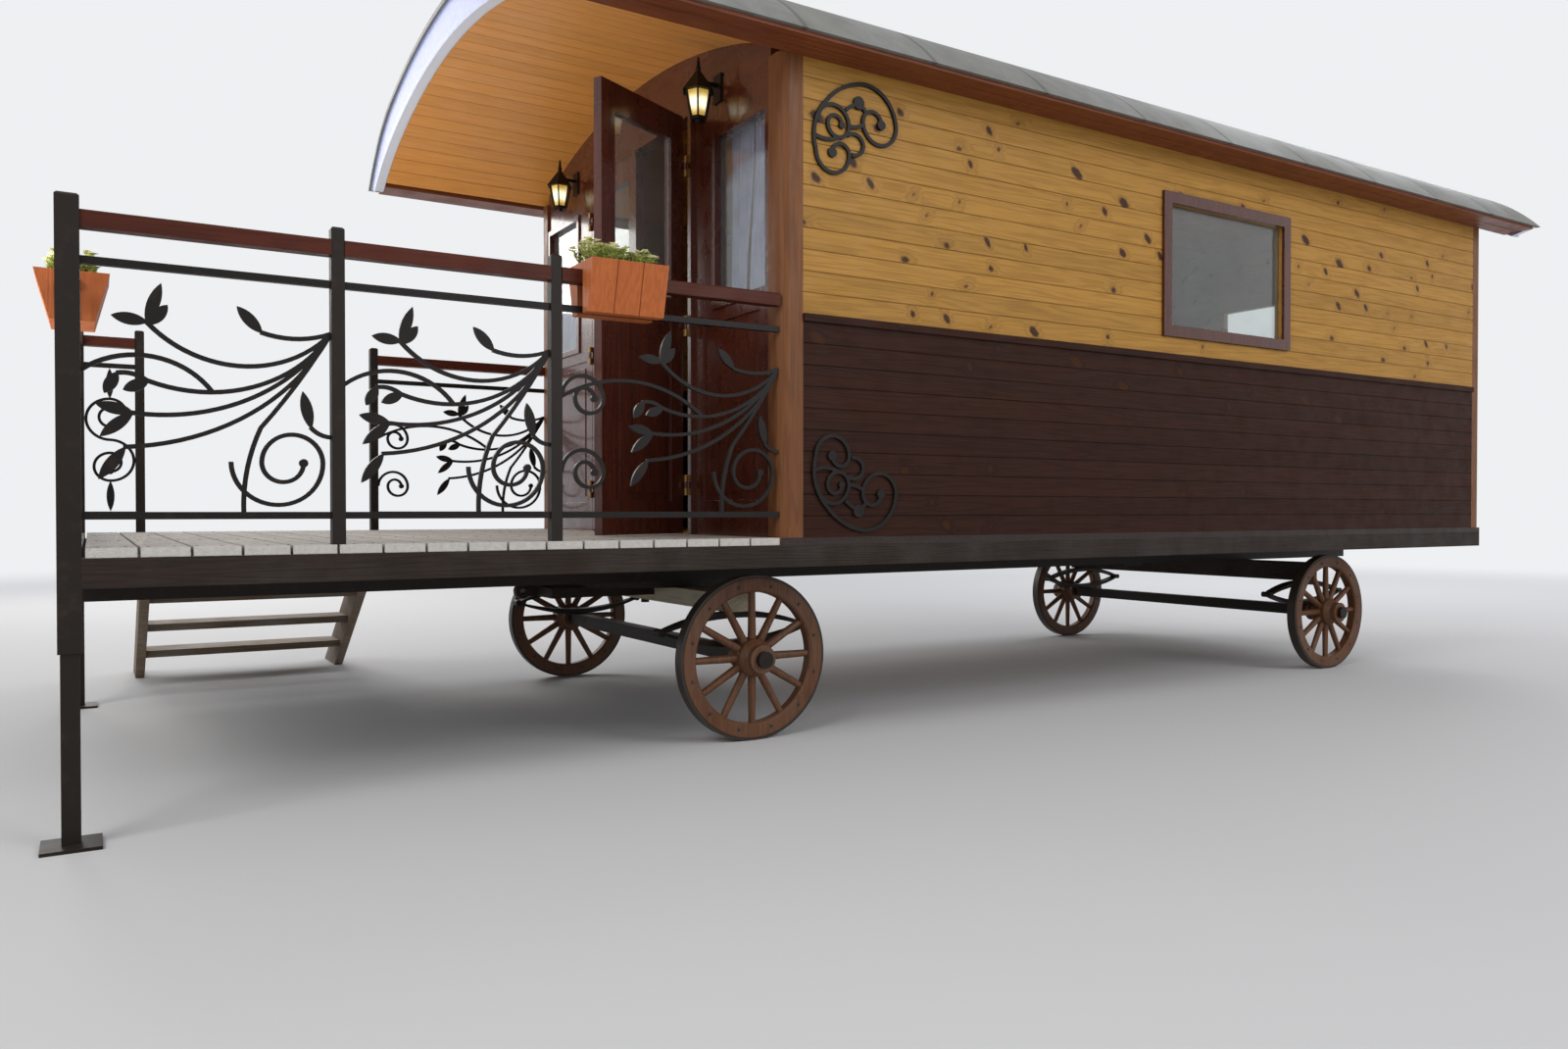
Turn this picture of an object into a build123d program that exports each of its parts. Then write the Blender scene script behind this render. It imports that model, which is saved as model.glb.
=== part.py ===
"""Vardo wagon: a wooden living wagon with an arched roof, a railed porch deck and four spoked wheels.

Wagon frame while modelling, in millimetres: x = 0 is the outer face of the cabin's front wall, and the
deck reaches to negative x. y = 0 is the centreline, and the stair is on the +y side. z = 0 is the ground.
Pieces are shifted at export so that the origin is below the middle of the whole object.
"""

import os
from math import asin, cos, degrees, hypot, radians, sin, sqrt

from build123d import *

# Overall sizes
WIDTH = 2700.0
DECK_LENGTH = 2360.0
BODY_LENGTH = 5200.0
FIT = 0.3

# Wheels and axles
WHEEL_R = 340.0
WHEEL_CENTRE_Y = 1045.0
TYRE_THICK = 12.0
TYRE_WIDE = 52.0
FELLOE_DEEP = 58.0
FELLOE_WIDE = 56.0
FELLOE_ROUND = 8.0
SPOKES = 12
SPOKE_R_HUB = 19.0
SPOKE_R_RIM = 14.0
HUB_LONG = 190.0
HUB_R = 78.0
HUB_END_R = 52.0
HUB_WAIST = 34.0
HUB_BAND_LONG = 26.0
HUB_BAND_R = 58.0
AXLE_ARM_R = 25.0
AXLE_BEAM = 62.0
AXLE_SHOULDER = 15.0
LINCH_R = 34.0
LINCH_LONG = 22.0
FRONT_AXLE_X = 44.0
AXLE_SPACING = 4000.0
WHEEL_PLAY = 1.0

# Springs, bolsters and turntable, stacked from the axles up to the chassis
SPRING_TALL = 149.0
SPRING_TO_WHEEL = 150.0
SPRING_LONG = 700.0
SPRING_WIDE = 60.0
SPRING_LEAF = 9.0
SPRING_LEAVES = 3
SPRING_PAD_LONG = 110.0
SPRING_PAD_TALL = 20.0
SPRING_EYE_R = 16.0
BOLSTER_TALL = 75.7
BOLSTER_WIDE = 120.0
BOLSTER_TO_WHEEL = 95.0
TURNTABLE_R = 470.0
TURNTABLE_RING = 70.0
TURNTABLE_THICK = 17.0
KINGPIN_R = 20.0
KINGPIN_END = 24.0
HOUND_LONG = 460.0
HOUND_SIZE = 45.0
HOUND_Y = 210.0
HOUND_REAR = 380.0
DRAWBAR_BORE_R = 13.0
LUG_REACH = 60.0
LUG_WIDE = 40.0
LUG_R = 34.0

# Chassis and floor
RAIL_SPACING = 900.0
RAIL_WIDE = 70.0
RAIL_TALL = 122.0
JACK_PAD_X = 3000.0
JACK_PAD_LONG = 160.0
JACK_PAD_THICK = 12.0
CROSS_BEAM_WIDE = 60.0
CROSS_BEAM_TALL = 60.0
CROSS_BEAM_PITCH = 560.0
FLOOR_THICK = 28.0
SIDE_BEAM_WIDE = 60.0
SIDE_BEAM_TALL = 87.0
BOARD_WIDE = 122.0
BOARD_GAP = 8.0

# Cabin walls, heights above the deck
WALL = 45.0
CORNER_POST = 100.0
CORNER_ROUND = 42.0
WALL_TOP = 1890.0
BELT_HEIGHT = 865.0
BELT_TALL = 30.0
BELT_PROUD = 12.0
WALL_BOARD = 86.0
GROOVE_WIDE = 5.0
GROOVE_DEEP = 4.0
FRONT_PANEL_INSET = 12.0
PANEL_STILE = 85.0
PANEL_LOW = 150.0
PANEL_RECESS = 8.0
PANEL_FIELD_MARGIN = 35.0
PANEL_FIELD_PROUD = 4.0

# Door in the front wall
DOOR_OPENING = 1180.0
JAMB_WIDE = 30.0
JAMB_DEEP = 75.0
HEAD_TALL = 25.0
LEAF_THICK = 40.0
LEAF_GAP = 5.0
LEAF_INSET = 16.0
LEAF_STILE = 85.0
LEAF_WINDOW_BOTTOM = 1040.0
LEAF_WINDOW_TOP = 1740.0
LEAF_OPEN_ANGLE = 117.0
HINGE_HEIGHTS = (220.0, 930.0, 1640.0)
KNUCKLE_R = 8.0
KNUCKLE_LONG = 60.0
KNUCKLE_PLAY = 1.0
PIN_R = 4.0
HINGE_PROUD = 7.0
STRAP_LONG = 34.0
STRAP_ON_JAMB = 24.0
KNOB_R = 22.0
KNOB_NECK_R = 9.0
KNOB_REACH = 30.0
KNOB_HEIGHT = 960.0

# Windows
FRONT_WINDOW_WIDE = 420.0
WINDOW_TO_POST = 30.0
FRONT_WINDOW_BOTTOM = 1000.0
FRONT_WINDOW_TOP = 1700.0
FRONT_TRIM_WIDE = 28.0
FRONT_TRIM_PROUD = 9.0
SIDE_WINDOW_X = 2700.0
SIDE_WINDOW_WIDE = 900.0
SIDE_WINDOW_BOTTOM = 1020.0
SIDE_WINDOW_TOP = 1620.0
REAR_WINDOW_WIDE = 1000.0
GLASS_THICK = 6.0
WINDOW_FRAME_WIDE = 55.0
WINDOW_FRAME_PROUD = 16.0
CURTAIN_THICK = 24.0
CURTAIN_ROD_R = 8.0
CURTAIN_STANDOFF = 30.0
CURTAIN_HEAD = 60.0
CURTAIN_WIDE = 400.0
CURTAIN_DROP = 790.0
ROD_BRACKET = 12.0

# Roof, each arch by its rise, its sag at the shoulder and its reach past the side walls
CEILING_RISE = 306.0
CEILING_SAG = 137.7
CEILING_SHOULDER = 395.0
CEILING_PAST_WALL = 45.0
CEILING_EAVE_DROP = 24.0
CEILING_BOARD = 104.0
CEILING_BOARD_THICK = 14.0
CEILING_BOARD_GAP = 2.0
CEILING_BOARDS_SHORT = 16.0
ROOF_RISE = 465.0
ROOF_SAG = 130.4
ROOF_SHOULDER = 540.0
ROOF_PAST_WALL = 190.0
ROOF_EAVE_LIFT = 10.0
ROOF_SKIN = 22.0
FRONT_OVERHANG = 930.0
REAR_OVERHANG = 320.0
FASCIA_THICK = 40.0
FASCIA_BEAD = 26.0
FASCIA_BEAD_PROUD = 7.0
EAVE_BEAM_WIDE = 90.0
EAVE_BEAM_DROP = 7.0
EAVE_BEAM_TALL = 98.0
SOFFIT_THICK = 15.0
COVER_LIP = 12.0

# Porch railing, heights above the deck
CORNER_TUBE = 60.0
RAIL_POST = 40.0
POST_TOP_BEVEL = 6.0
HAND_RAIL_TOP = 950.0
HAND_RAIL_TALL = 50.0
HAND_RAIL_WIDE = 50.0
HAND_RAIL_ROUND = 9.0
POST_ABOVE_RAIL = 40.0
UPPER_BAR_TOP = 822.0
LOWER_BAR_TOP = 102.0
BAR_SIZE = 22.0
NEAR_POSTS = (712.0, 1424.0)
STAIR_GATE = (262.0, 1367.0)
FRONT_SPANS = 3

# Wrought-iron panels between the two bars, sizes from a panel's right end
SCROLL_BAR = 13.0
FAN_ROOT = 555.0
LEAF_HALF = 17.0
FAN_PANEL_MIN = 500.0
LONG_PANEL_MIN = 800.0
VOLUTE_START = (282.0, 150.0)
VOLUTE_RADII = (129.0, 87.0, 59.0)
POST_VOLUTES = ((81.0, 400.0), (81.0, 139.0))
POST_VOLUTE_RADII = (78.0, 53.0, 36.0)
NARROW_VOLUTE_SHARES = (1.0, 0.68, 0.46)

# Landing legs
SLEEVE_DROP = 295.0
SLEEVE_BORE = 48.0
SLEEVE_DEPTH = 400.0
LEG_IN_SLEEVE = 320.0
FOOT_PLATE = 150.0
FOOT_THICK = 10.0

# Stair on the far side
STAIR_STEPS = 5
TREAD_RUN = 247.0
TREAD_DEEP = 262.0
TREAD_THICK = 38.0
STRINGER_THICK = 45.0
STRINGER_DEEP = 230.0

# Planters that sit astride the hand rails
PLANTER_LONG = 290.0
PLANTER_DEEP = 236.0
PLANTER_FOOT_DEEP = 142.0
PLANTER_WALL = 12.0
PLANTER_RIM = 26.0
PLANTER_BELOW_RAIL = 154.0
PLANTER_STAVES = 3
STAVE_GROOVE = 4.0
NEAR_PLANTER_X = 1662.0
FRONT_PLANTER_Y = -90.0
SOIL_DROP = 8.0
PLANT_TALL = 95.0
PLANT_INSET = 30.0

# Lanterns on the front wall
LANTERN_Y = 818.0
LANTERN_REACH = 96.0
LANTERN_RIM_BELOW_HEAD = 15.0
LANTERN_CAP_R = 74.0
LANTERN_CAP_TALL = 88.0
LANTERN_NECK_R = 10.0
FINIAL_TALL = 58.0
FINIAL_R = 11.0
LANTERN_GLASS_TALL = 106.0
LANTERN_TOP_R = 58.0
LANTERN_FOOT_R = 36.0
LANTERN_BASE = 14.0
LANTERN_DROP_R = 14.0
LANTERN_BAR_R = 4.0
LANTERN_SIDES = 6
LANTERN_ARM = 14.0
LANTERN_PLATE = 8.0
LANTERN_PLATE_WIDE = 70.0
LANTERN_PLATE_TALL = 120.0

# Wrought-iron ornaments on the side walls, heights above the deck
WALL_SCROLL_X = 333.0
UPPER_SCROLL_Z = 1668.0
LOWER_SCROLL_Z = 184.0
WALL_SCROLL_BAR = 15.0
WALL_SCROLL_PROUD = 11.0

HALF_WIDTH = WIDTH / 2
AXLE_TOP = WHEEL_R + AXLE_BEAM / 2
BOLSTER_BOTTOM = AXLE_TOP + SPRING_TALL
BOLSTER_TOP = BOLSTER_BOTTOM + BOLSTER_TALL
LOWER_RING_TOP = BOLSTER_TOP + TURNTABLE_THICK
UPPER_RING_LOW = LOWER_RING_TOP + FIT
CHASSIS_UNDER = UPPER_RING_LOW + TURNTABLE_THICK
CROSS_UNDER = CHASSIS_UNDER + RAIL_TALL
FLOOR_UNDER = CROSS_UNDER + CROSS_BEAM_TALL
DECK_TOP = FLOOR_UNDER + FLOOR_THICK
DOOR_HEAD = WALL_TOP
RAIL_LINE = HALF_WIDTH - CORNER_TUBE / 2
DECK_FRONT = -DECK_LENGTH
POST_LINE_X = DECK_FRONT + CORNER_TUBE / 2
REAR_AXLE_X = FRONT_AXLE_X + AXLE_SPACING
HUB_INNER = WHEEL_CENTRE_Y - HUB_LONG / 2
HUB_OUTER = WHEEL_CENTRE_Y + HUB_LONG / 2
AXLE_BEAM_LONG = 2 * (HUB_INNER - AXLE_SHOULDER)
BOLSTER_LONG = 2 * (WHEEL_CENTRE_Y - BOLSTER_TO_WHEEL)
SPRING_Y = WHEEL_CENTRE_Y - SPRING_TO_WHEEL
FRONT_WINDOW_CENTRE = HALF_WIDTH - CORNER_POST - WINDOW_TO_POST - FRONT_WINDOW_WIDE / 2
STAIR_RISE = DECK_TOP / STAIR_STEPS
STAIR_X = (POST_LINE_X + STAIR_GATE[0], POST_LINE_X + STAIR_GATE[1])
STAIR_REACH = TREAD_RUN * STAIR_STEPS
ROOF_EAVE_Y = HALF_WIDTH + ROOF_PAST_WALL
ROOF_FRONT = -FRONT_OVERHANG
ROOF_REAR = BODY_LENGTH + REAR_OVERHANG
FRONT_MOST = POST_LINE_X - PLANTER_DEEP / 2
LENGTH_MIDDLE = (FRONT_MOST + ROOF_REAR + COVER_LIP) / 2
WIDTH_MIDDLE = (HALF_WIDTH + STAIR_REACH - ROOF_EAVE_Y) / 2
TO_ORIGIN = Location((-LENGTH_MIDDLE, -WIDTH_MIDDLE, 0))

os.makedirs("parts", exist_ok=True)


def save(builder, node):
    """Write one finished piece, moved into the object's own frame."""
    piece = builder.part.moved(TO_ORIGIN)
    piece.label = node
    export_step(piece, f"parts/{node}.step")


def box_between(x, y, z, mode=Mode.ADD):
    """A box in the current part, from its (low, high) along each axis."""
    middle = ((x[0] + x[1]) / 2, (y[0] + y[1]) / 2, (z[0] + z[1]) / 2)
    with Locations(middle):
        Box(x[1] - x[0], y[1] - y[0], z[1] - z[0], mode=mode)


def arch_points(crown, radius, join, eave_y, eave_z):
    """Join, shoulder middle and eave of one half of a three-arc arch, tangent at the join."""
    turn = asin(join / radius)
    join_z = crown - radius * (1 - cos(turn))
    out_y, out_z = eave_y - join, eave_z - join_z
    along_normal = out_y * sin(turn) + out_z * cos(turn)
    shoulder = -(out_y**2 + out_z**2) / (2 * along_normal)
    centre_y, centre_z = join - shoulder * sin(turn), join_z - shoulder * cos(turn)
    end_turn = asin((eave_y - centre_y) / shoulder)
    half = (turn + end_turn) / 2
    middle = (centre_y + shoulder * sin(half), centre_z + shoulder * cos(half))
    return (join, join_z), middle, (eave_y, eave_z), (centre_y, centre_z, shoulder, turn, end_turn)


def arch_line(crown, radius, join, eave_y, eave_z):
    """The three arcs of an arch from the near eave over the crown to the far eave, heights above deck."""
    joint, middle, eave, _ = arch_points(crown, radius, join, eave_y, eave_z)
    lift = DECK_TOP
    ThreePointArc((-eave[0], eave[1] + lift), (-middle[0], middle[1] + lift), (-joint[0], joint[1] + lift))
    ThreePointArc((-joint[0], joint[1] + lift), (0, crown + lift), (joint[0], joint[1] + lift))
    ThreePointArc((joint[0], joint[1] + lift), (middle[0], middle[1] + lift), (eave[0], eave[1] + lift))


def make_arch(eave_y, eave_z, rise, sag, shoulder_reach):
    """An arch as (crown, crown radius, join, eave y, eave z) from its rise, sag and shoulder."""
    join = eave_y - shoulder_reach
    return eave_z + rise, (join**2 + sag**2) / (2 * sag), join, eave_y, eave_z


CEILING = make_arch(
    HALF_WIDTH + CEILING_PAST_WALL,
    WALL_TOP - CEILING_EAVE_DROP,
    CEILING_RISE,
    CEILING_SAG,
    CEILING_SHOULDER,
)
CEILING_CROWN = CEILING[0]
ROOF_TOP = make_arch(ROOF_EAVE_Y, WALL_TOP + ROOF_EAVE_LIFT, ROOF_RISE, ROOF_SAG, ROOF_SHOULDER)
ROOF_EAVE_Z = ROOF_TOP[4]


def inner_arch(arch, gap):
    """The same arch drawn inward by a gap, or outward by a negative one."""
    crown, radius, join, eave_y, eave_z = arch
    return crown - gap, radius - gap, join * (radius - gap) / radius, eave_y - gap, eave_z


ROOF_UNDER = inner_arch(ROOF_TOP, ROOF_SKIN)


def arch_height(arch, y):
    """Height of an arch above the deck at a distance y from the centreline."""
    crown, radius, join, _, _ = arch
    if abs(y) <= join:
        return crown - radius + sqrt(radius**2 - y**2)
    centre_y, centre_z, shoulder, _, _ = arch_points(*arch)[3]
    return centre_z + sqrt(shoulder**2 - (abs(y) - centre_y) ** 2)


def arch_slope(arch, y):
    """Angle of an arch's normal from straight up, in degrees, at a distance y from the centreline."""
    _, radius, join, _, _ = arch
    if abs(y) <= join:
        return degrees(asin(y / radius))
    centre_y, _, shoulder, _, _ = arch_points(*arch)[3]
    side = 1 if y > 0 else -1
    return side * degrees(asin((abs(y) - centre_y) / shoulder))


# Chassis, beams, floor and deck
with BuildPart() as chassis_rails:
    for side in (-1, 1):
        y = side * RAIL_SPACING / 2
        across = (y - RAIL_WIDE / 2, y + RAIL_WIDE / 2)
        box_between(
            (DECK_FRONT + CORNER_TUBE, BODY_LENGTH - SIDE_BEAM_WIDE), across, (CHASSIS_UNDER, CROSS_UNDER)
        )
        box_between(
            (JACK_PAD_X - JACK_PAD_LONG / 2, JACK_PAD_X + JACK_PAD_LONG / 2),
            across,
            (CHASSIS_UNDER - JACK_PAD_THICK, CHASSIS_UNDER),
        )
save(chassis_rails, "chassis_rails")

with BuildPart() as side_beams:
    for side in (-1, 1):
        y = side * (HALF_WIDTH - SIDE_BEAM_WIDE / 2)
        box_between(
            (DECK_FRONT + CORNER_TUBE, BODY_LENGTH),
            (y - SIDE_BEAM_WIDE / 2, y + SIDE_BEAM_WIDE / 2),
            (FLOOR_UNDER - SIDE_BEAM_TALL, FLOOR_UNDER),
        )
save(side_beams, "side_beams")

BEAM_REACH = HALF_WIDTH - SIDE_BEAM_WIDE
with BuildPart() as cross_beams:
    box_between(
        (DECK_FRONT, DECK_FRONT + CORNER_TUBE),
        (-(HALF_WIDTH - CORNER_TUBE), HALF_WIDTH - CORNER_TUBE),
        (FLOOR_UNDER - SIDE_BEAM_TALL, DECK_TOP),
    )
    first = DECK_FRONT + CORNER_TUBE + CROSS_BEAM_PITCH / 2
    last = BODY_LENGTH - CROSS_BEAM_WIDE
    bays = round((last - first) / CROSS_BEAM_PITCH)
    for number in range(bays + 1):
        x = first + (last - first) * number / bays
        box_between((x, x + CROSS_BEAM_WIDE), (-BEAM_REACH, BEAM_REACH), (CROSS_UNDER, FLOOR_UNDER))
save(cross_beams, "cross_beams")

with BuildPart() as deck_boards:
    start = DECK_FRONT + CORNER_TUBE + BOARD_GAP
    count = int(-start / (BOARD_WIDE + BOARD_GAP))
    pitch = -start / count
    for number in range(count):
        x = start + number * pitch
        box_between((x, x + pitch - BOARD_GAP), (-HALF_WIDTH, HALF_WIDTH), (FLOOR_UNDER, DECK_TOP))
save(deck_boards, "deck_boards")

with BuildPart() as cabin_floor:
    box_between((0, BODY_LENGTH), (-HALF_WIDTH, HALF_WIDTH), (FLOOR_UNDER, DECK_TOP))
save(cabin_floor, "cabin_floor")

# Cabin corner posts and side walls
with BuildPart() as corner_posts:
    for x in (CORNER_POST / 2, BODY_LENGTH - CORNER_POST / 2):
        for side in (-1, 1):
            y = side * (HALF_WIDTH - CORNER_POST / 2)
            box_between(
                (x - CORNER_POST / 2, x + CORNER_POST / 2),
                (y - CORNER_POST / 2, y + CORNER_POST / 2),
                (DECK_TOP, DECK_TOP + WALL_TOP),
            )
    upright = corner_posts.edges().filter_by(Axis.Z)
    outer = [
        edge
        for edge in upright
        if abs(edge.center().Y) > HALF_WIDTH - FIT
        and (edge.center().X < FIT or edge.center().X > BODY_LENGTH - FIT)
    ]
    fillet(outer, CORNER_ROUND)
save(corner_posts, "corner_posts")


def board_joints(low, high):
    """Heights of the joints between even wall boards from one height above deck to another."""
    boards = round((high - low) / WALL_BOARD)
    return [low + (high - low) * number / boards for number in range(1, boards)]


def side_board_grooves(low, high):
    """Cut the joints between the boards into the outer faces of both side walls."""
    for side in (-1, 1):
        across = sorted((side * (HALF_WIDTH - GROOVE_DEEP), side * (HALF_WIDTH + GROOVE_DEEP)))
        for joint in board_joints(low, high):
            z = DECK_TOP + joint
            box_between(WALL_SPAN, across, (z - GROOVE_WIDE / 2, z + GROOVE_WIDE / 2), Mode.SUBTRACT)


WALL_SPAN = (CORNER_POST, BODY_LENGTH - CORNER_POST)
with BuildPart() as side_walls_lower:
    for side in (-1, 1):
        y = side * (HALF_WIDTH - WALL / 2)
        box_between(WALL_SPAN, (y - WALL / 2, y + WALL / 2), (DECK_TOP, DECK_TOP + BELT_HEIGHT))
    side_board_grooves(0, BELT_HEIGHT - BELT_TALL / 2)
save(side_walls_lower, "side_walls_lower")

with BuildPart() as side_walls_upper:
    for side in (-1, 1):
        y = side * (HALF_WIDTH - WALL / 2)
        box_between(
            WALL_SPAN, (y - WALL / 2, y + WALL / 2), (DECK_TOP + BELT_HEIGHT, DECK_TOP + WALL_TOP)
        )
    side_board_grooves(BELT_HEIGHT + BELT_TALL / 2, WALL_TOP)
    middle_z = DECK_TOP + (SIDE_WINDOW_BOTTOM + SIDE_WINDOW_TOP) / 2
    with Locations((SIDE_WINDOW_X, 0, middle_z)):
        Box(SIDE_WINDOW_WIDE, WIDTH * 2, SIDE_WINDOW_TOP - SIDE_WINDOW_BOTTOM, mode=Mode.SUBTRACT)
save(side_walls_upper, "side_walls_upper")

with BuildPart() as belt_rails:
    for side in (-1, 1):
        y = side * (HALF_WIDTH + BELT_PROUD / 2)
        z = DECK_TOP + BELT_HEIGHT
        box_between(
            WALL_SPAN,
            (y - BELT_PROUD / 2, y + BELT_PROUD / 2),
            (z - BELT_TALL / 2, z + BELT_TALL / 2),
        )
save(belt_rails, "belt_rails")

with BuildPart() as side_window_frames:
    for side in (-1, 1):
        with BuildSketch(Plane.XZ.offset(-side * HALF_WIDTH)):
            with Locations((SIDE_WINDOW_X, middle_z)):
                Rectangle(
                    SIDE_WINDOW_WIDE + 2 * WINDOW_FRAME_WIDE,
                    SIDE_WINDOW_TOP - SIDE_WINDOW_BOTTOM + 2 * WINDOW_FRAME_WIDE,
                )
                Rectangle(
                    SIDE_WINDOW_WIDE, SIDE_WINDOW_TOP - SIDE_WINDOW_BOTTOM, mode=Mode.SUBTRACT
                )
        extrude(amount=-side * WINDOW_FRAME_PROUD)
save(side_window_frames, "side_window_frames")

# Front wall: a fixed panel each side of the door and an arched transom above
JAMB_OUTER = DOOR_OPENING / 2
PANEL_REACH = HALF_WIDTH - CORNER_POST
FRONT_WALL_SPAN = (FRONT_PANEL_INSET, FRONT_PANEL_INSET + WALL)


def sunk_panel(faces, across, upright):
    """Sink a panel with a raised middle field into both faces of an upright board across the wagon."""
    low_x, high_x = faces
    field_across = (across[0] + PANEL_FIELD_MARGIN, across[1] - PANEL_FIELD_MARGIN)
    field_upright = (upright[0] + PANEL_FIELD_MARGIN, upright[1] - PANEL_FIELD_MARGIN)
    for face, inward in ((low_x, 1), (high_x, -1)):
        bed = face + inward * PANEL_RECESS
        box_between(sorted((face, bed)), across, upright, Mode.SUBTRACT)
        box_between(sorted((bed, bed - inward * PANEL_FIELD_PROUD)), field_across, field_upright)


with BuildPart() as front_panels:
    for side in (-1, 1):
        low, high = sorted((side * JAMB_OUTER, side * PANEL_REACH))
        box_between(FRONT_WALL_SPAN, (low, high), (DECK_TOP, DECK_TOP + DOOR_HEAD))
        sunk_panel(
            FRONT_WALL_SPAN,
            (low + PANEL_STILE, high - PANEL_STILE),
            (DECK_TOP + PANEL_LOW, DECK_TOP + FRONT_WINDOW_BOTTOM - PANEL_STILE),
        )
    window_z = DECK_TOP + (FRONT_WINDOW_BOTTOM + FRONT_WINDOW_TOP) / 2
    window_tall = FRONT_WINDOW_TOP - FRONT_WINDOW_BOTTOM
    window_places = [(FRONT_PANEL_INSET, side * FRONT_WINDOW_CENTRE, window_z) for side in (-1, 1)]
    with Locations(*window_places):
        Box(
            2 * FRONT_TRIM_PROUD,
            FRONT_WINDOW_WIDE + 2 * FRONT_TRIM_WIDE,
            window_tall + 2 * FRONT_TRIM_WIDE,
        )
        Box(CORNER_POST * 2, FRONT_WINDOW_WIDE, window_tall, mode=Mode.SUBTRACT)
save(front_panels, "front_panels")

UNDER_CEILING = inner_arch(CEILING, FIT)


def arched_wall(plane_x, bottom):
    """An upright panel between the corner posts, from a height above deck up to the ceiling's arch."""
    low = DECK_TOP + bottom
    with BuildSketch(Plane.YZ.offset(plane_x)) as panel:
        with BuildLine():
            arch_line(*UNDER_CEILING)
            eave_y, eave_z = UNDER_CEILING[3], UNDER_CEILING[4] + DECK_TOP
            Polyline((eave_y, eave_z), (eave_y, 0), (-eave_y, 0), (-eave_y, eave_z))
        make_face()
        with Locations((0, low + CEILING_CROWN)):
            Rectangle(2 * PANEL_REACH, 2 * CEILING_CROWN, mode=Mode.INTERSECT)
    extrude(panel.sketch, amount=WALL)


with BuildPart() as front_transom:
    arched_wall(FRONT_PANEL_INSET, DOOR_HEAD)
save(front_transom, "front_transom")

REAR_WALL_X = BODY_LENGTH - FRONT_PANEL_INSET - WALL
REAR_FACE_X = REAR_WALL_X + WALL
with BuildPart() as rear_wall:
    arched_wall(REAR_WALL_X, 0)
    for joint in board_joints(0, WALL_TOP):
        z = DECK_TOP + joint
        box_between(
            (REAR_FACE_X - GROOVE_DEEP, REAR_FACE_X),
            (-PANEL_REACH, PANEL_REACH),
            (z - GROOVE_WIDE / 2, z + GROOVE_WIDE / 2),
            Mode.SUBTRACT,
        )
    with Locations((REAR_FACE_X, 0, middle_z)):
        Box(
            2 * FRONT_TRIM_PROUD,
            REAR_WINDOW_WIDE + 2 * WINDOW_FRAME_WIDE,
            SIDE_WINDOW_TOP - SIDE_WINDOW_BOTTOM + 2 * WINDOW_FRAME_WIDE,
        )
        Box(WALL * 4, REAR_WINDOW_WIDE, SIDE_WINDOW_TOP - SIDE_WINDOW_BOTTOM, mode=Mode.SUBTRACT)
save(rear_wall, "rear_wall")

# Door frame, hinges and the two leaves
JAMB_FACE_X = FRONT_PANEL_INSET - LEAF_INSET
JAMB_INNER = JAMB_OUTER - JAMB_WIDE
with BuildPart() as door_jambs:
    for side in (-1, 1):
        low, high = sorted((side * JAMB_INNER, side * JAMB_OUTER))
        box_between((JAMB_FACE_X, JAMB_FACE_X + JAMB_DEEP), (low, high), (DECK_TOP, DECK_TOP + DOOR_HEAD))
save(door_jambs, "door_jambs")

HEAD_UNDER = DECK_TOP + DOOR_HEAD - HEAD_TALL
with BuildPart() as door_head:
    box_between(
        (JAMB_FACE_X, JAMB_FACE_X + JAMB_DEEP),
        (-JAMB_INNER, JAMB_INNER),
        (HEAD_UNDER, DECK_TOP + DOOR_HEAD),
    )
save(door_head, "door_head")

PIN_X = JAMB_FACE_X - HINGE_PROUD - KNUCKLE_R / 2
LEAF_LOW = DECK_TOP + LEAF_GAP
LEAF_HIGH = HEAD_UNDER - LEAF_GAP
LEAF_WIDE = JAMB_INNER - 1.5 * LEAF_GAP
LEAF_FACE_X = JAMB_FACE_X


def hinge_centres(side):
    """Middles of one door's knuckles, on its pin line at the jamb's inner edge."""
    return [(PIN_X, side * JAMB_INNER, DECK_TOP + height) for height in HINGE_HEIGHTS]


with BuildPart() as door_hinges:
    for side in (-1, 1):
        for x, y, z in hinge_centres(side):
            low, high = sorted((y, y + side * STRAP_ON_JAMB))
            for end in (-1, 1):
                middle = z + end * (KNUCKLE_LONG + KNUCKLE_PLAY) / 2
                with Locations((x, y, middle)):
                    Cylinder(KNUCKLE_R, KNUCKLE_LONG / 2)
                box_between(
                    (x, JAMB_FACE_X),
                    (low, high),
                    (middle - KNUCKLE_LONG / 4, middle + KNUCKLE_LONG / 4),
                )
            with Locations((x, y, z)):
                Cylinder(PIN_R, KNUCKLE_LONG)
save(door_hinges, "door_hinges")


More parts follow.
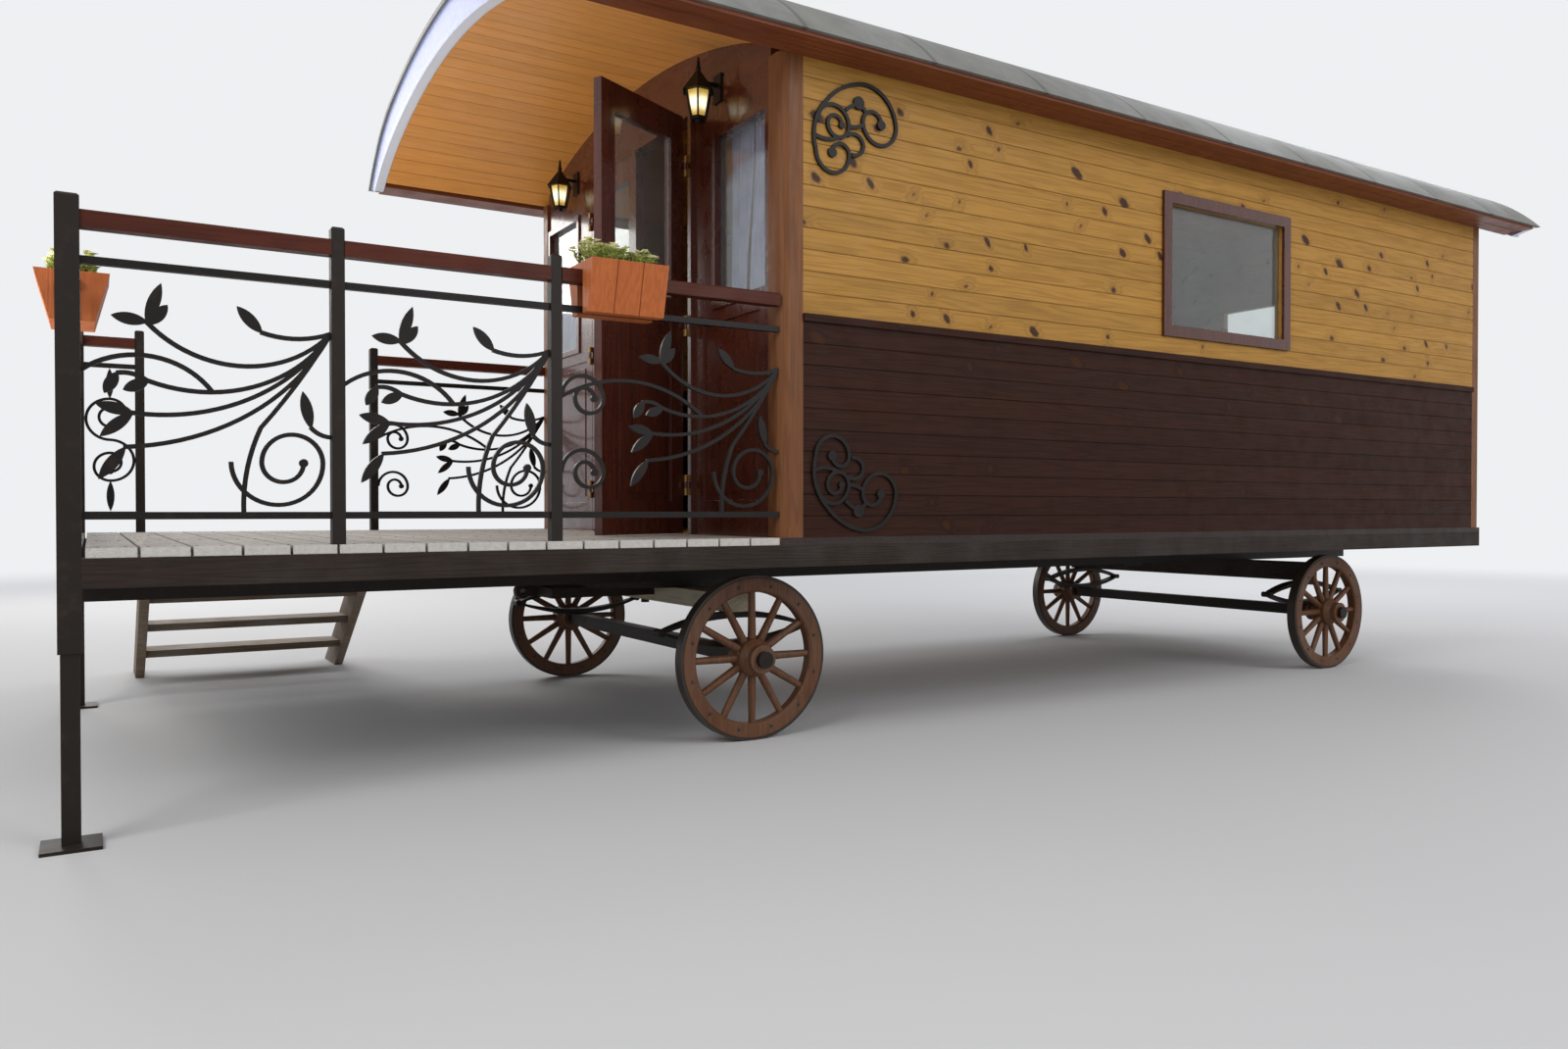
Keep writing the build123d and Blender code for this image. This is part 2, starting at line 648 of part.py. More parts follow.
def door_leaf(side):
    """One closed leaf with its window cut, its sunk panels, its knob and its hinge knuckles."""
    outer = JAMB_INNER - LEAF_GAP
    centre_y = side * (outer - LEAF_WIDE / 2)
    low, high = sorted((side * outer, side * (outer - LEAF_WIDE)))
    faces = (LEAF_FACE_X, LEAF_FACE_X + LEAF_THICK)
    box_between(faces, (low, high), (LEAF_LOW, LEAF_HIGH))
    sunk_panel(
        faces,
        (low + LEAF_STILE, high - LEAF_STILE),
        (DECK_TOP + PANEL_LOW, DECK_TOP + LEAF_WINDOW_BOTTOM - LEAF_STILE),
    )
    window = (LEAF_WINDOW_BOTTOM + LEAF_WINDOW_TOP) / 2 + DECK_TOP
    pane_wide = LEAF_WIDE - 2 * LEAF_STILE
    with Locations((LEAF_FACE_X, centre_y, window)):
        Box(LEAF_THICK * 4, pane_wide, LEAF_WINDOW_TOP - LEAF_WINDOW_BOTTOM, mode=Mode.SUBTRACT)
    knob_y = side * (outer - LEAF_WIDE + LEAF_STILE / 2)
    for face, out in ((faces[0], -1), (faces[1], 1)):
        with Locations(Location((face + out * KNOB_REACH / 2, knob_y, DECK_TOP + KNOB_HEIGHT), (0, 90, 0))):
            Cylinder(KNOB_NECK_R, KNOB_REACH)
        with Locations((face + out * KNOB_REACH, knob_y, DECK_TOP + KNOB_HEIGHT)):
            Sphere(KNOB_R)
    for x, y, z in hinge_centres(side):
        with Locations((x, y, z)):
            Cylinder(KNUCKLE_R, KNUCKLE_LONG / 2 - KNUCKLE_PLAY)
        strap_low, strap_high = sorted((y, y - side * STRAP_LONG))
        box_between(
            (x, LEAF_FACE_X),
            (strap_low, strap_high),
            (z - KNUCKLE_LONG / 4 + KNUCKLE_PLAY, z + KNUCKLE_LONG / 4 - KNUCKLE_PLAY),
        )
        with Locations((x, y, z)):
            Cylinder(PIN_R + FIT, KNUCKLE_LONG, mode=Mode.SUBTRACT)


def swing(builder, side, angle):
    """A leaf's part turned open about its pin line."""
    pin = Axis((PIN_X, side * JAMB_INNER, 0), (0, 0, 1))
    return builder.part.rotate(pin, -side * angle)


with BuildPart() as near_leaf:
    door_leaf(-1)
with BuildPart() as near_door:
    add(swing(near_leaf, -1, LEAF_OPEN_ANGLE))
save(near_door, "near_door")

with BuildPart() as far_door:
    door_leaf(1)
save(far_door, "far_door")


def leaf_glass(side):
    """The pane that fills a leaf's window."""
    centre_y = side * (JAMB_INNER - LEAF_GAP - LEAF_WIDE / 2)
    with Locations(
        (
            LEAF_FACE_X + LEAF_THICK / 2,
            centre_y,
            (LEAF_WINDOW_BOTTOM + LEAF_WINDOW_TOP) / 2 + DECK_TOP,
        )
    ):
        Box(GLASS_THICK, LEAF_WIDE - 2 * LEAF_STILE, LEAF_WINDOW_TOP - LEAF_WINDOW_BOTTOM)


with BuildPart() as near_pane:
    leaf_glass(-1)
with BuildPart() as near_door_glass:
    add(swing(near_pane, -1, LEAF_OPEN_ANGLE))
save(near_door_glass, "near_door_glass")

with BuildPart() as far_door_glass:
    leaf_glass(1)
save(far_door_glass, "far_door_glass")

# Fixed panes and the curtains behind the front ones
FRONT_WALL_MIDDLE = FRONT_PANEL_INSET + WALL / 2
with BuildPart() as window_glass:
    with Locations(*[(FRONT_WALL_MIDDLE, side * FRONT_WINDOW_CENTRE, window_z) for side in (-1, 1)]):
        Box(GLASS_THICK, FRONT_WINDOW_WIDE, FRONT_WINDOW_TOP - FRONT_WINDOW_BOTTOM)
    with Locations(*[(SIDE_WINDOW_X, side * (HALF_WIDTH - WALL / 2), middle_z) for side in (-1, 1)]):
        Box(SIDE_WINDOW_WIDE, GLASS_THICK, SIDE_WINDOW_TOP - SIDE_WINDOW_BOTTOM)
    with Locations((REAR_WALL_X + WALL / 2, 0, middle_z)):
        Box(GLASS_THICK, REAR_WINDOW_WIDE, SIDE_WINDOW_TOP - SIDE_WINDOW_BOTTOM)
save(window_glass, "window_glass")

ROD_X = FRONT_PANEL_INSET + WALL + CURTAIN_STANDOFF
ROD_Z = DECK_TOP + FRONT_WINDOW_TOP + CURTAIN_HEAD
with BuildPart() as curtain_rods:
    for side in (-1, 1):
        y = side * FRONT_WINDOW_CENTRE
        with Locations(Location((ROD_X, y, ROD_Z), (90, 0, 0))):
            Cylinder(CURTAIN_ROD_R, FRONT_WINDOW_WIDE)
        for end in (-1, 1):
            mark = y + end * (FRONT_WINDOW_WIDE / 2 - ROD_BRACKET)
            box_between(
                (FRONT_PANEL_INSET + WALL, ROD_X),
                (mark - ROD_BRACKET / 2, mark + ROD_BRACKET / 2),
                (ROD_Z - CURTAIN_ROD_R, ROD_Z + CURTAIN_ROD_R),
            )
save(curtain_rods, "curtain_rods")

with BuildPart() as curtains:
    for side in (-1, 1):
        y = side * FRONT_WINDOW_CENTRE
        top = ROD_Z - CURTAIN_ROD_R - FIT
        box_between(
            (ROD_X - CURTAIN_THICK / 2, ROD_X + CURTAIN_THICK / 2),
            (y - CURTAIN_WIDE / 2, y + CURTAIN_WIDE / 2),
            (top - CURTAIN_DROP, top),
        )
save(curtains, "curtains")

# Roof: lengthwise ceiling boards, eave beams, end fascias and the curved cover
BOARDS_LENGTH = ROOF_REAR - ROOF_FRONT - 2 * FASCIA_THICK
BOARDS_MIDDLE = (ROOF_FRONT + ROOF_REAR) / 2


def arch_station(arch, distance):
    """Point and normal angle on an arch at a signed arc length from the crown."""
    crown, radius, join, _, _ = arch
    centre_y, centre_z, shoulder, turn, _ = arch_points(*arch)[3]
    side = 1 if distance > 0 else -1
    reach = abs(distance)
    if reach <= radius * turn:
        angle = reach / radius
        y, z = radius * sin(angle), crown - radius * (1 - cos(angle))
    else:
        angle = turn + (reach - radius * turn) / shoulder
        y, z = centre_y + shoulder * sin(angle), centre_z + shoulder * cos(angle)
    return side * y, z, side * degrees(angle)


CEILING_HALF = CEILING[1] * asin(CEILING[2] / CEILING[1])
_, _, SHOULDER_R, JOIN_TURN, _ = arch_points(*CEILING)[3]
CEILING_HALF += SHOULDER_R * (radians(arch_slope(CEILING, HALF_WIDTH - CEILING_BOARDS_SHORT)) - JOIN_TURN)
with BuildPart() as ceiling_boards:
    count = round(2 * CEILING_HALF / CEILING_BOARD)
    pitch = 2 * CEILING_HALF / count
    for number in range(count):
        y, z, angle = arch_station(CEILING, (number + 1 / 2) * pitch - CEILING_HALF)
        lift = CEILING_BOARD_THICK / 2
        centre = (
            BOARDS_MIDDLE,
            y + lift * sin(radians(angle)),
            DECK_TOP + z + lift * cos(radians(angle)),
        )
        with Locations(Location(centre, (-angle, 0, 0))):
            Box(BOARDS_LENGTH, pitch - CEILING_BOARD_GAP, CEILING_BOARD_THICK)
save(ceiling_boards, "ceiling_boards")

with BuildPart() as eave_beams:
    for side in (-1, 1):
        inner, beam, lip = HALF_WIDTH, HALF_WIDTH + EAVE_BEAM_WIDE, ROOF_UNDER[3] - FIT
        low = DECK_TOP + WALL_TOP - EAVE_BEAM_DROP
        high = low + EAVE_BEAM_TALL
        soffit = DECK_TOP + ROOF_EAVE_Z
        outer_high = min(high, DECK_TOP + arch_height(inner_arch(ROOF_UNDER, FIT), beam))
        with BuildSketch(Plane.YZ.offset(ROOF_FRONT + FASCIA_THICK)):
            with BuildLine():
                Polyline(
                    (side * inner, low),
                    (side * beam, low),
                    (side * beam, soffit - SOFFIT_THICK),
                    (side * lip, soffit - SOFFIT_THICK),
                    (side * lip, soffit),
                    (side * beam, soffit),
                    (side * beam, outer_high),
                    (side * inner, high),
                    close=True,
                )
            make_face()
        extrude(amount=BOARDS_LENGTH)
save(eave_beams, "eave_beams")


def arch_band(outer, inner):
    """A face between two arches, closed at the eaves."""
    with BuildLine() as outline:
        arch_line(*outer)
        arch_line(*inner)
        for side in (-1, 1):
            Line(
                (side * outer[3], outer[4] + DECK_TOP),
                (side * inner[3], inner[4] + DECK_TOP),
            )
    make_face(outline.edges())


with BuildPart() as roof_fascias:
    for start, outward in ((ROOF_FRONT, -1), (ROOF_REAR - FASCIA_THICK, 1)):
        with BuildSketch(Plane.YZ.offset(start)):
            arch_band(inner_arch(ROOF_UNDER, FIT), CEILING)
        extrude(amount=FASCIA_THICK)
        face_x = start if outward < 0 else start + FASCIA_THICK
        with BuildSketch(Plane.YZ.offset(face_x)):
            arch_band(inner_arch(CEILING, -FASCIA_BEAD), CEILING)
        extrude(amount=outward * FASCIA_BEAD_PROUD)
save(roof_fascias, "roof_fascias")

with BuildPart() as roof_cover:
    with BuildSketch(Plane.YZ.offset(ROOF_FRONT - COVER_LIP)):
        arch_band(ROOF_TOP, ROOF_UNDER)
    extrude(amount=ROOF_REAR - ROOF_FRONT + 2 * COVER_LIP)
save(roof_cover, "roof_cover")

# Corner tubes that carry the railing above the deck and the landing legs below it
TUBE_LOW = DECK_TOP - SLEEVE_DROP
TUBE_HIGH = DECK_TOP + HAND_RAIL_TOP + POST_ABOVE_RAIL


def bevel_tops(builder, top_z):
    """Bevel the edges round the top faces of upright posts."""
    tops = [edge for edge in builder.edges() if abs(edge.center().Z - top_z) < FIT]
    chamfer(tops, POST_TOP_BEVEL)


with BuildPart() as corner_tubes:
    for side in (-1, 1):
        y = side * RAIL_LINE
        low, high = y - CORNER_TUBE / 2, y + CORNER_TUBE / 2
        box_between((DECK_FRONT, DECK_FRONT + CORNER_TUBE), (low, high), (TUBE_LOW, TUBE_HIGH))
        with Locations((POST_LINE_X, y, TUBE_LOW + SLEEVE_DEPTH / 2)):
            Box(SLEEVE_BORE, SLEEVE_BORE, SLEEVE_DEPTH, mode=Mode.SUBTRACT)
    bevel_tops(corner_tubes, TUBE_HIGH)
save(corner_tubes, "corner_tubes")

LEG_SIZE = SLEEVE_BORE - 2 * FIT
with BuildPart() as landing_legs:
    for side in (-1, 1):
        y = side * RAIL_LINE
        with Locations((POST_LINE_X, y, FOOT_THICK / 2)):
            Box(FOOT_PLATE, FOOT_PLATE, FOOT_THICK)
        box_between(
            (POST_LINE_X - LEG_SIZE / 2, POST_LINE_X + LEG_SIZE / 2),
            (y - LEG_SIZE / 2, y + LEG_SIZE / 2),
            (FOOT_THICK, TUBE_LOW + LEG_IN_SLEEVE),
        )
save(landing_legs, "landing_legs")

# Railing round the deck
FRONT_REACH = RAIL_LINE - CORNER_TUBE / 2
FRONT_POSTS = [
    -RAIL_LINE + 2 * RAIL_LINE * number / FRONT_SPANS for number in range(1, FRONT_SPANS)
]


def post_places():
    """Plan positions of the intermediate posts."""
    places = [(POST_LINE_X + mark, -RAIL_LINE) for mark in NEAR_POSTS]
    places += [(POST_LINE_X + mark, RAIL_LINE) for mark in STAIR_GATE]
    places += [(POST_LINE_X, y) for y in FRONT_POSTS]
    return places


with BuildPart() as rail_posts:
    for x, y in post_places():
        box_between(
            (x - RAIL_POST / 2, x + RAIL_POST / 2),
            (y - RAIL_POST / 2, y + RAIL_POST / 2),
            (DECK_TOP, TUBE_HIGH),
        )
    bevel_tops(rail_posts, TUBE_HIGH)
save(rail_posts, "rail_posts")


def railing_spans():
    """Clear spans between posts: (axis, low, high, place across), with axis X or Y."""
    half_post = RAIL_POST / 2
    corner = DECK_FRONT + CORNER_TUBE
    near = [POST_LINE_X + mark for mark in NEAR_POSTS]
    gate = [POST_LINE_X + mark for mark in STAIR_GATE]
    spans = [
        ("X", corner, near[0] - half_post, -RAIL_LINE),
        ("X", near[0] + half_post, near[1] - half_post, -RAIL_LINE),
        ("X", near[1] + half_post, 0, -RAIL_LINE),
        ("X", corner, gate[0] - half_post, RAIL_LINE),
        ("X", gate[1] + half_post, 0, RAIL_LINE),
    ]
    lows = [-FRONT_REACH] + [y + half_post for y in FRONT_POSTS]
    highs = [y - half_post for y in FRONT_POSTS] + [FRONT_REACH]
    spans += [("Y", low, high, POST_LINE_X) for low, high in zip(lows, highs)]
    return spans


def span_bar(span, wide, top, tall):
    """A straight bar that fills one clear span, with its top at a height above the deck."""
    axis, low, high, across = span
    sideways = (across - wide / 2, across + wide / 2)
    upright = (DECK_TOP + top - tall, DECK_TOP + top)
    if axis == "X":
        box_between((low, high), sideways, upright)
    else:
        box_between(sideways, (low, high), upright)


with BuildPart() as hand_rails:
    for span in railing_spans():
        span_bar(span, HAND_RAIL_WIDE, HAND_RAIL_TOP, HAND_RAIL_TALL)
    top_z = DECK_TOP + HAND_RAIL_TOP
    long_edges = [
        edge
        for edge in hand_rails.edges()
        if abs(edge.center().Z - top_z) < FIT and edge.length > 2 * HAND_RAIL_WIDE
    ]
    fillet(long_edges, HAND_RAIL_ROUND)
save(hand_rails, "hand_rails")

with BuildPart() as rail_bars:
    for span in railing_spans():
        for top in (UPPER_BAR_TOP, LOWER_BAR_TOP):
            span_bar(span, BAR_SIZE, top, BAR_SIZE)
save(rail_bars, "rail_bars")

# Wrought-iron panels: a fan of bent rods from the right post, leaves, and volutes
SCROLL_LOW = LOWER_BAR_TOP
SCROLL_TALL = UPPER_BAR_TOP - BAR_SIZE - SCROLL_LOW
FAN_RODS = (
    ((110.0, 531.0), (200.0, 544.0)),
    ((300.0, 441.0), (503.0, 552.0)),
    ((300.0, 358.0), (500.0, 380.0)),
    ((310.0, 308.0), (540.0, 285.0)),
    ((280.0, 265.0), (560.0, 186.0)),
    ((104.0, 385.0), (200.0, 255.0)),
)
FAN_BENDS = (
    ((200.0, 255.0), (236.0, 140.0), (248.0, 0.0)),
    ((500.0, 380.0), (540.0, 398.0), (576.0, 397.0)),
    ((0.0, 232.0), (32.0, 240.0), (60.0, 262.0)),
)
LEFT_POST_BEND = (400.0, (510.0, 452.0), (330.0, 355.0))
FAN_LEAVES = (
    ((194.0, 541.0), (264.0, 616.0)),
    ((496.0, 548.0), (588.0, 561.0)),
    ((502.0, 545.0), (462.0, 664.0)),
    ((492.0, 541.0), (446.0, 602.0)),
    ((494.0, 379.0), (560.0, 350.0)),
    ((572.0, 400.0), (606.0, 338.0)),
    ((533.0, 285.0), (628.0, 308.0)),
    ((533.0, 287.0), (618.0, 214.0)),
    ((553.0, 188.0), (622.0, 92.0)),
    ((57.0, 256.0), (82.0, 372.0)),
)


def bent_bar(start, middle, end, wide=SCROLL_BAR):
    """A strip of even width along the arc through three points."""
    (x1, y1), (x2, y2), (x3, y3) = start, middle, end
    double = 2 * (x1 * (y2 - y3) + x2 * (y3 - y1) + x3 * (y1 - y2))
    square1, square2, square3 = x1**2 + y1**2, x2**2 + y2**2, x3**2 + y3**2
    centre_x = (square1 * (y2 - y3) + square2 * (y3 - y1) + square3 * (y1 - y2)) / double
    centre_y = (square1 * (x3 - x2) + square2 * (x1 - x3) + square3 * (x2 - x1)) / double
    radius = hypot(x1 - centre_x, y1 - centre_y)

    def moved_out(point, out):
        share = (radius + out) / radius
        return centre_x + (point[0] - centre_x) * share, centre_y + (point[1] - centre_y) * share

    outer = [moved_out(point, wide / 2) for point in (start, middle, end)]
    inner = [moved_out(point, -wide / 2) for point in (end, middle, start)]
    with BuildLine() as outline:
        ThreePointArc(*outer)
        Line(outer[2], inner[0])
        ThreePointArc(*inner)
        Line(inner[2], outer[0])
    make_face(outline.edges())


def volute(start, radii, across, sense, wide=SCROLL_BAR, eye=SCROLL_BAR):
    """Half circles of shrinking radii, the first across a unit direction and bulging to one side."""
    x, y = start
    across_x, across_y = across
    for radius in radii:
        middle = (
            x + radius * (across_x - sense * across_y),
            y + radius * (across_y + sense * across_x),
        )
        end = (x + 2 * radius * across_x, y + 2 * radius * across_y)
        bent_bar((x, y), middle, end, wide)
        x, y = end
        across_x, across_y = -across_x, -across_y
    with Locations((x, y)):
        Circle(eye)


def leaf(base, tip, half):
    """A pointed leaf between two points."""
    middle_x, middle_y = (base[0] + tip[0]) / 2, (base[1] + tip[1]) / 2
    long = hypot(tip[0] - base[0], tip[1] - base[1])
    aside_x, aside_y = -(tip[1] - base[1]) / long * half, (tip[0] - base[0]) / long * half
    with BuildLine() as outline:
        ThreePointArc(base, (middle_x + aside_x, middle_y + aside_y), tip)
        ThreePointArc(tip, (middle_x - aside_x, middle_y - aside_y), base)
    make_face(outline.edges())


def fan_panel(length):
    """A wide panel: the fan of rods, their leaves, a volute that crosses one and two by the left post."""

    def from_right(point):
        """A point measured from the panel's right end, in the panel's own plane."""
        return length - point[0], point[1]

    for middle, end in FAN_RODS:
        bent_bar((length, FAN_ROOT), from_right(middle), from_right(end))
    for points in FAN_BENDS:
        bent_bar(*[from_right(point) for point in points])
    post_height, middle, end = LEFT_POST_BEND
    bent_bar((0, post_height), from_right(middle), from_right(end))
    for base, tip in FAN_LEAVES:
        leaf(from_right(base), from_right(tip), LEAF_HALF)
    volute(from_right(VOLUTE_START), VOLUTE_RADII, (1, 0), -1)
    if length > LONG_PANEL_MIN:
        for centre_x, height in POST_VOLUTES:
            volute((centre_x - POST_VOLUTE_RADII[0], height), POST_VOLUTE_RADII, (1, 0), 1)


def narrow_panel(length):
    """A narrow panel: an upright S of two volutes with a leaf to each bar."""
    middle = (length / 2, SCROLL_TALL / 2)
    radii = [(length - SCROLL_BAR) / 2 * share for share in NARROW_VOLUTE_SHARES]
    for up in (1, -1):
        volute(middle, radii, (0, up), 1)
        volute_end = (length / 2, SCROLL_TALL / 2 + up * 2 * radii[0])
        at_bar = (length / 2, SCROLL_TALL / 2 * (1 + up))
        leaf(volute_end, at_bar, LEAF_HALF)


with BuildPart() as rail_scrolls:
    for axis, low, high, across in railing_spans():
        length = high - low
        base_z = DECK_TOP + SCROLL_LOW
        if axis == "X":
            plane = Plane((low, across + SCROLL_BAR / 2, base_z), x_dir=(1, 0, 0), z_dir=(0, -1, 0))
        else:
            plane = Plane((across - SCROLL_BAR / 2, low, base_z), x_dir=(0, 1, 0), z_dir=(1, 0, 0))
        with BuildSketch(plane):
            if length > FAN_PANEL_MIN:
                fan_panel(length)
            else:
                narrow_panel(length)
            with Locations((length / 2, SCROLL_TALL / 2)):
                Rectangle(length, SCROLL_TALL, mode=Mode.INTERSECT)
        extrude(amount=SCROLL_BAR)
save(rail_scrolls, "rail_scrolls")

# Stair
with BuildPart() as stair_stringers:
    slope = STAIR_RISE / TREAD_RUN
    foot_y = HALF_WIDTH + STAIR_REACH
    for x in (STAIR_X[0], STAIR_X[1] - STRINGER_THICK):
        with BuildSketch(Plane.YZ.offset(x)):
            with BuildLine():
                Polyline(
                    (HALF_WIDTH, DECK_TOP),
                    (foot_y, 0),
                    (foot_y - STRINGER_DEEP / slope, 0),
                    (HALF_WIDTH, DECK_TOP - STRINGER_DEEP),
                    close=True,
                )
            make_face()
        extrude(amount=STRINGER_THICK)
save(stair_stringers, "stair_stringers")

with BuildPart() as stair_treads:
    for step in range(1, STAIR_STEPS):
        y = HALF_WIDTH + step * TREAD_RUN
        z = DECK_TOP - step * STAIR_RISE
        box_between(
            (STAIR_X[0] + STRINGER_THICK, STAIR_X[1] - STRINGER_THICK),
            (y - TREAD_DEEP, y),
            (z - TREAD_THICK, z),
        )
save(stair_treads, "stair_treads")

# Turntable, bolsters, axles and springs
def ring(low, thick):
    """A flat turntable ring about the steering axis."""
    with BuildSketch(Plane.XY.offset(low)) as flat:
        with Locations((FRONT_AXLE_X, 0)):
            Circle(TURNTABLE_R)
            Circle(TURNTABLE_R - TURNTABLE_RING, mode=Mode.SUBTRACT)
    extrude(flat.sketch, amount=thick)


with BuildPart() as turntable_top:
    ring(UPPER_RING_LOW, TURNTABLE_THICK)
    box_between(
        (FRONT_AXLE_X - BOLSTER_WIDE / 2, FRONT_AXLE_X + BOLSTER_WIDE / 2),
        (-TURNTABLE_R + TURNTABLE_RING / 2, TURNTABLE_R - TURNTABLE_RING / 2),
        (UPPER_RING_LOW, CHASSIS_UNDER),
    )
    pin_low = BOLSTER_BOTTOM - KINGPIN_END
    with Locations((FRONT_AXLE_X, 0, (UPPER_RING_LOW + pin_low) / 2)):
        Cylinder(KINGPIN_R, UPPER_RING_LOW - pin_low)
save(turntable_top, "turntable_top")

with BuildPart() as turntable_ring:
    ring(BOLSTER_TOP, TURNTABLE_THICK)
save(turntable_ring, "turntable_ring")

with BuildPart() as front_bolster:
    box_between(
        (FRONT_AXLE_X - BOLSTER_WIDE / 2, FRONT_AXLE_X + BOLSTER_WIDE / 2),
        (-BOLSTER_LONG / 2, BOLSTER_LONG / 2),
        (BOLSTER_BOTTOM, BOLSTER_TOP),
    )
    with Locations((FRONT_AXLE_X, 0, BOLSTER_TOP)):
        Cylinder(KINGPIN_R + FIT, BOLSTER_TOP, mode=Mode.SUBTRACT)
save(front_bolster, "front_bolster")

with BuildPart() as rear_bolster:
    box_between(
        (REAR_AXLE_X - BOLSTER_WIDE / 2, REAR_AXLE_X + BOLSTER_WIDE / 2),
        (-BOLSTER_LONG / 2, BOLSTER_LONG / 2),
        (BOLSTER_BOTTOM, CHASSIS_UNDER),
    )
save(rear_bolster, "rear_bolster")

HOUND_TOP = BOLSTER_TOP
HOUND_UPRIGHT = (HOUND_TOP - HOUND_SIZE, HOUND_TOP)
HOUND_FRONT = FRONT_AXLE_X - BOLSTER_WIDE / 2
HOUND_BACK = FRONT_AXLE_X + BOLSTER_WIDE / 2
with BuildPart() as hounds:
    for side in (-1, 1):
        across = (side * HOUND_Y - HOUND_SIZE / 2, side * HOUND_Y + HOUND_SIZE / 2)
        for span in ((HOUND_FRONT - HOUND_LONG, HOUND_FRONT), (HOUND_BACK, HOUND_BACK + HOUND_REAR)):
            box_between(span, across, HOUND_UPRIGHT)
save(hounds, "hounds")

with BuildPart() as drawbar_head:
    box_between(
        (HOUND_FRONT - HOUND_LONG - HOUND_SIZE, HOUND_FRONT - HOUND_LONG),
        (-HOUND_Y - HOUND_SIZE / 2, HOUND_Y + HOUND_SIZE / 2),
        HOUND_UPRIGHT,
    )
    lug_x = HOUND_FRONT - HOUND_LONG - HOUND_SIZE - LUG_REACH
    lug_z = HOUND_TOP - HOUND_SIZE / 2
    with BuildSketch(Plane.XZ.offset(-LUG_WIDE / 2)):
        with Locations((lug_x, lug_z)):
            Circle(LUG_R)
        with Locations((lug_x + LUG_REACH / 2, lug_z)):
            Rectangle(LUG_REACH, HOUND_SIZE)
        with Locations((lug_x, lug_z)):
            Circle(DRAWBAR_BORE_R, mode=Mode.SUBTRACT)
    extrude(amount=LUG_WIDE)
save(drawbar_head, "drawbar_head")


def elliptic_spring(axle_x, side):
    """A full elliptic leaf spring between an axle and the bolster above it."""
    middle_z = (AXLE_TOP + BOLSTER_BOTTOM) / 2
    rise = (BOLSTER_BOTTOM - AXLE_TOP) / 2
    pack = SPRING_LEAF * SPRING_LEAVES
    end = SPRING_LONG / 2
    with BuildSketch(Plane.XZ.offset(-side * SPRING_Y - SPRING_WIDE / 2)) as profile:
        for turn in (-1, 1):
            with BuildLine():
                ThreePointArc(
                    (axle_x - end, middle_z + turn * SPRING_LEAF / 2),
                    (axle_x, middle_z + turn * rise),
                    (axle_x + end, middle_z + turn * SPRING_LEAF / 2),
                )
                ThreePointArc(
                    (axle_x - end, middle_z - turn * SPRING_LEAF / 2),
                    (axle_x, middle_z + turn * (rise - pack)),
                    (axle_x + end, middle_z - turn * SPRING_LEAF / 2),
                )
                for tip in (-1, 1):
                    Line(
                        (axle_x + tip * end, middle_z + turn * SPRING_LEAF / 2),
                        (axle_x + tip * end, middle_z - turn * SPRING_LEAF / 2),
                    )
            make_face()
            with Locations((axle_x, middle_z + turn * (rise - SPRING_PAD_TALL / 2))):
                Rectangle(SPRING_PAD_LONG, SPRING_PAD_TALL)
        with Locations((axle_x - end, middle_z), (axle_x + end, middle_z)):
            Circle(SPRING_EYE_R)
    extrude(profile.sketch, amount=SPRING_WIDE)


for node, axle_x in (("front_springs", FRONT_AXLE_X), ("rear_springs", REAR_AXLE_X)):
    with BuildPart() as springs:
        for side in (-1, 1):
            elliptic_spring(axle_x, side)
    save(springs, node)

for node, axle_x in (("front_axle", FRONT_AXLE_X), ("rear_axle", REAR_AXLE_X)):
    with BuildPart() as axle:
        with Locations((axle_x, 0, WHEEL_R)):
            Box(AXLE_BEAM, AXLE_BEAM_LONG, AXLE_BEAM)
        for side in (-1, 1):
            for radius, inner, outer in (
                (AXLE_ARM_R, AXLE_BEAM_LONG / 2, HUB_OUTER + WHEEL_PLAY),
                (LINCH_R, AXLE_BEAM_LONG / 2, HUB_INNER - WHEEL_PLAY),
                (LINCH_R, HUB_OUTER + WHEEL_PLAY, HUB_OUTER + WHEEL_PLAY + LINCH_LONG),
            ):
                with Locations(Location((axle_x, side * (inner + outer) / 2, WHEEL_R), (90, 0, 0))):
                    Cylinder(radius, outer - inner)
    save(axle, node)

# Wheels: a turned hub with an iron band at each end, tapered spokes, a rounded felloe and a tyre
FELLOE_R = WHEEL_R - TYRE_THICK - FIT
FELLOE_IN_R = FELLOE_R - FELLOE_DEEP
HUB_HALF = HUB_LONG / 2
HUB_PROFILE = (
    (0, -HUB_HALF),
    (HUB_BAND_R, -HUB_HALF),
    (HUB_BAND_R, HUB_BAND_LONG - HUB_HALF),
    (HUB_END_R, HUB_BAND_LONG - HUB_HALF),
    (HUB_R, -HUB_WAIST),
    (HUB_R, HUB_WAIST),
    (HUB_END_R, HUB_HALF - HUB_BAND_LONG),
    (HUB_BAND_R, HUB_HALF - HUB_BAND_LONG),
    (HUB_BAND_R, HUB_HALF),
    (0, HUB_HALF),
)
FELLOE_PROFILE = (
    (FELLOE_R, -FELLOE_WIDE / 2),
    (FELLOE_R, FELLOE_WIDE / 2),
    (FELLOE_IN_R + FELLOE_ROUND, FELLOE_WIDE / 2),
    (FELLOE_IN_R, FELLOE_WIDE / 2 - FELLOE_ROUND),
    (FELLOE_IN_R, FELLOE_ROUND - FELLOE_WIDE / 2),
    (FELLOE_IN_R + FELLOE_ROUND, -FELLOE_WIDE / 2),
)


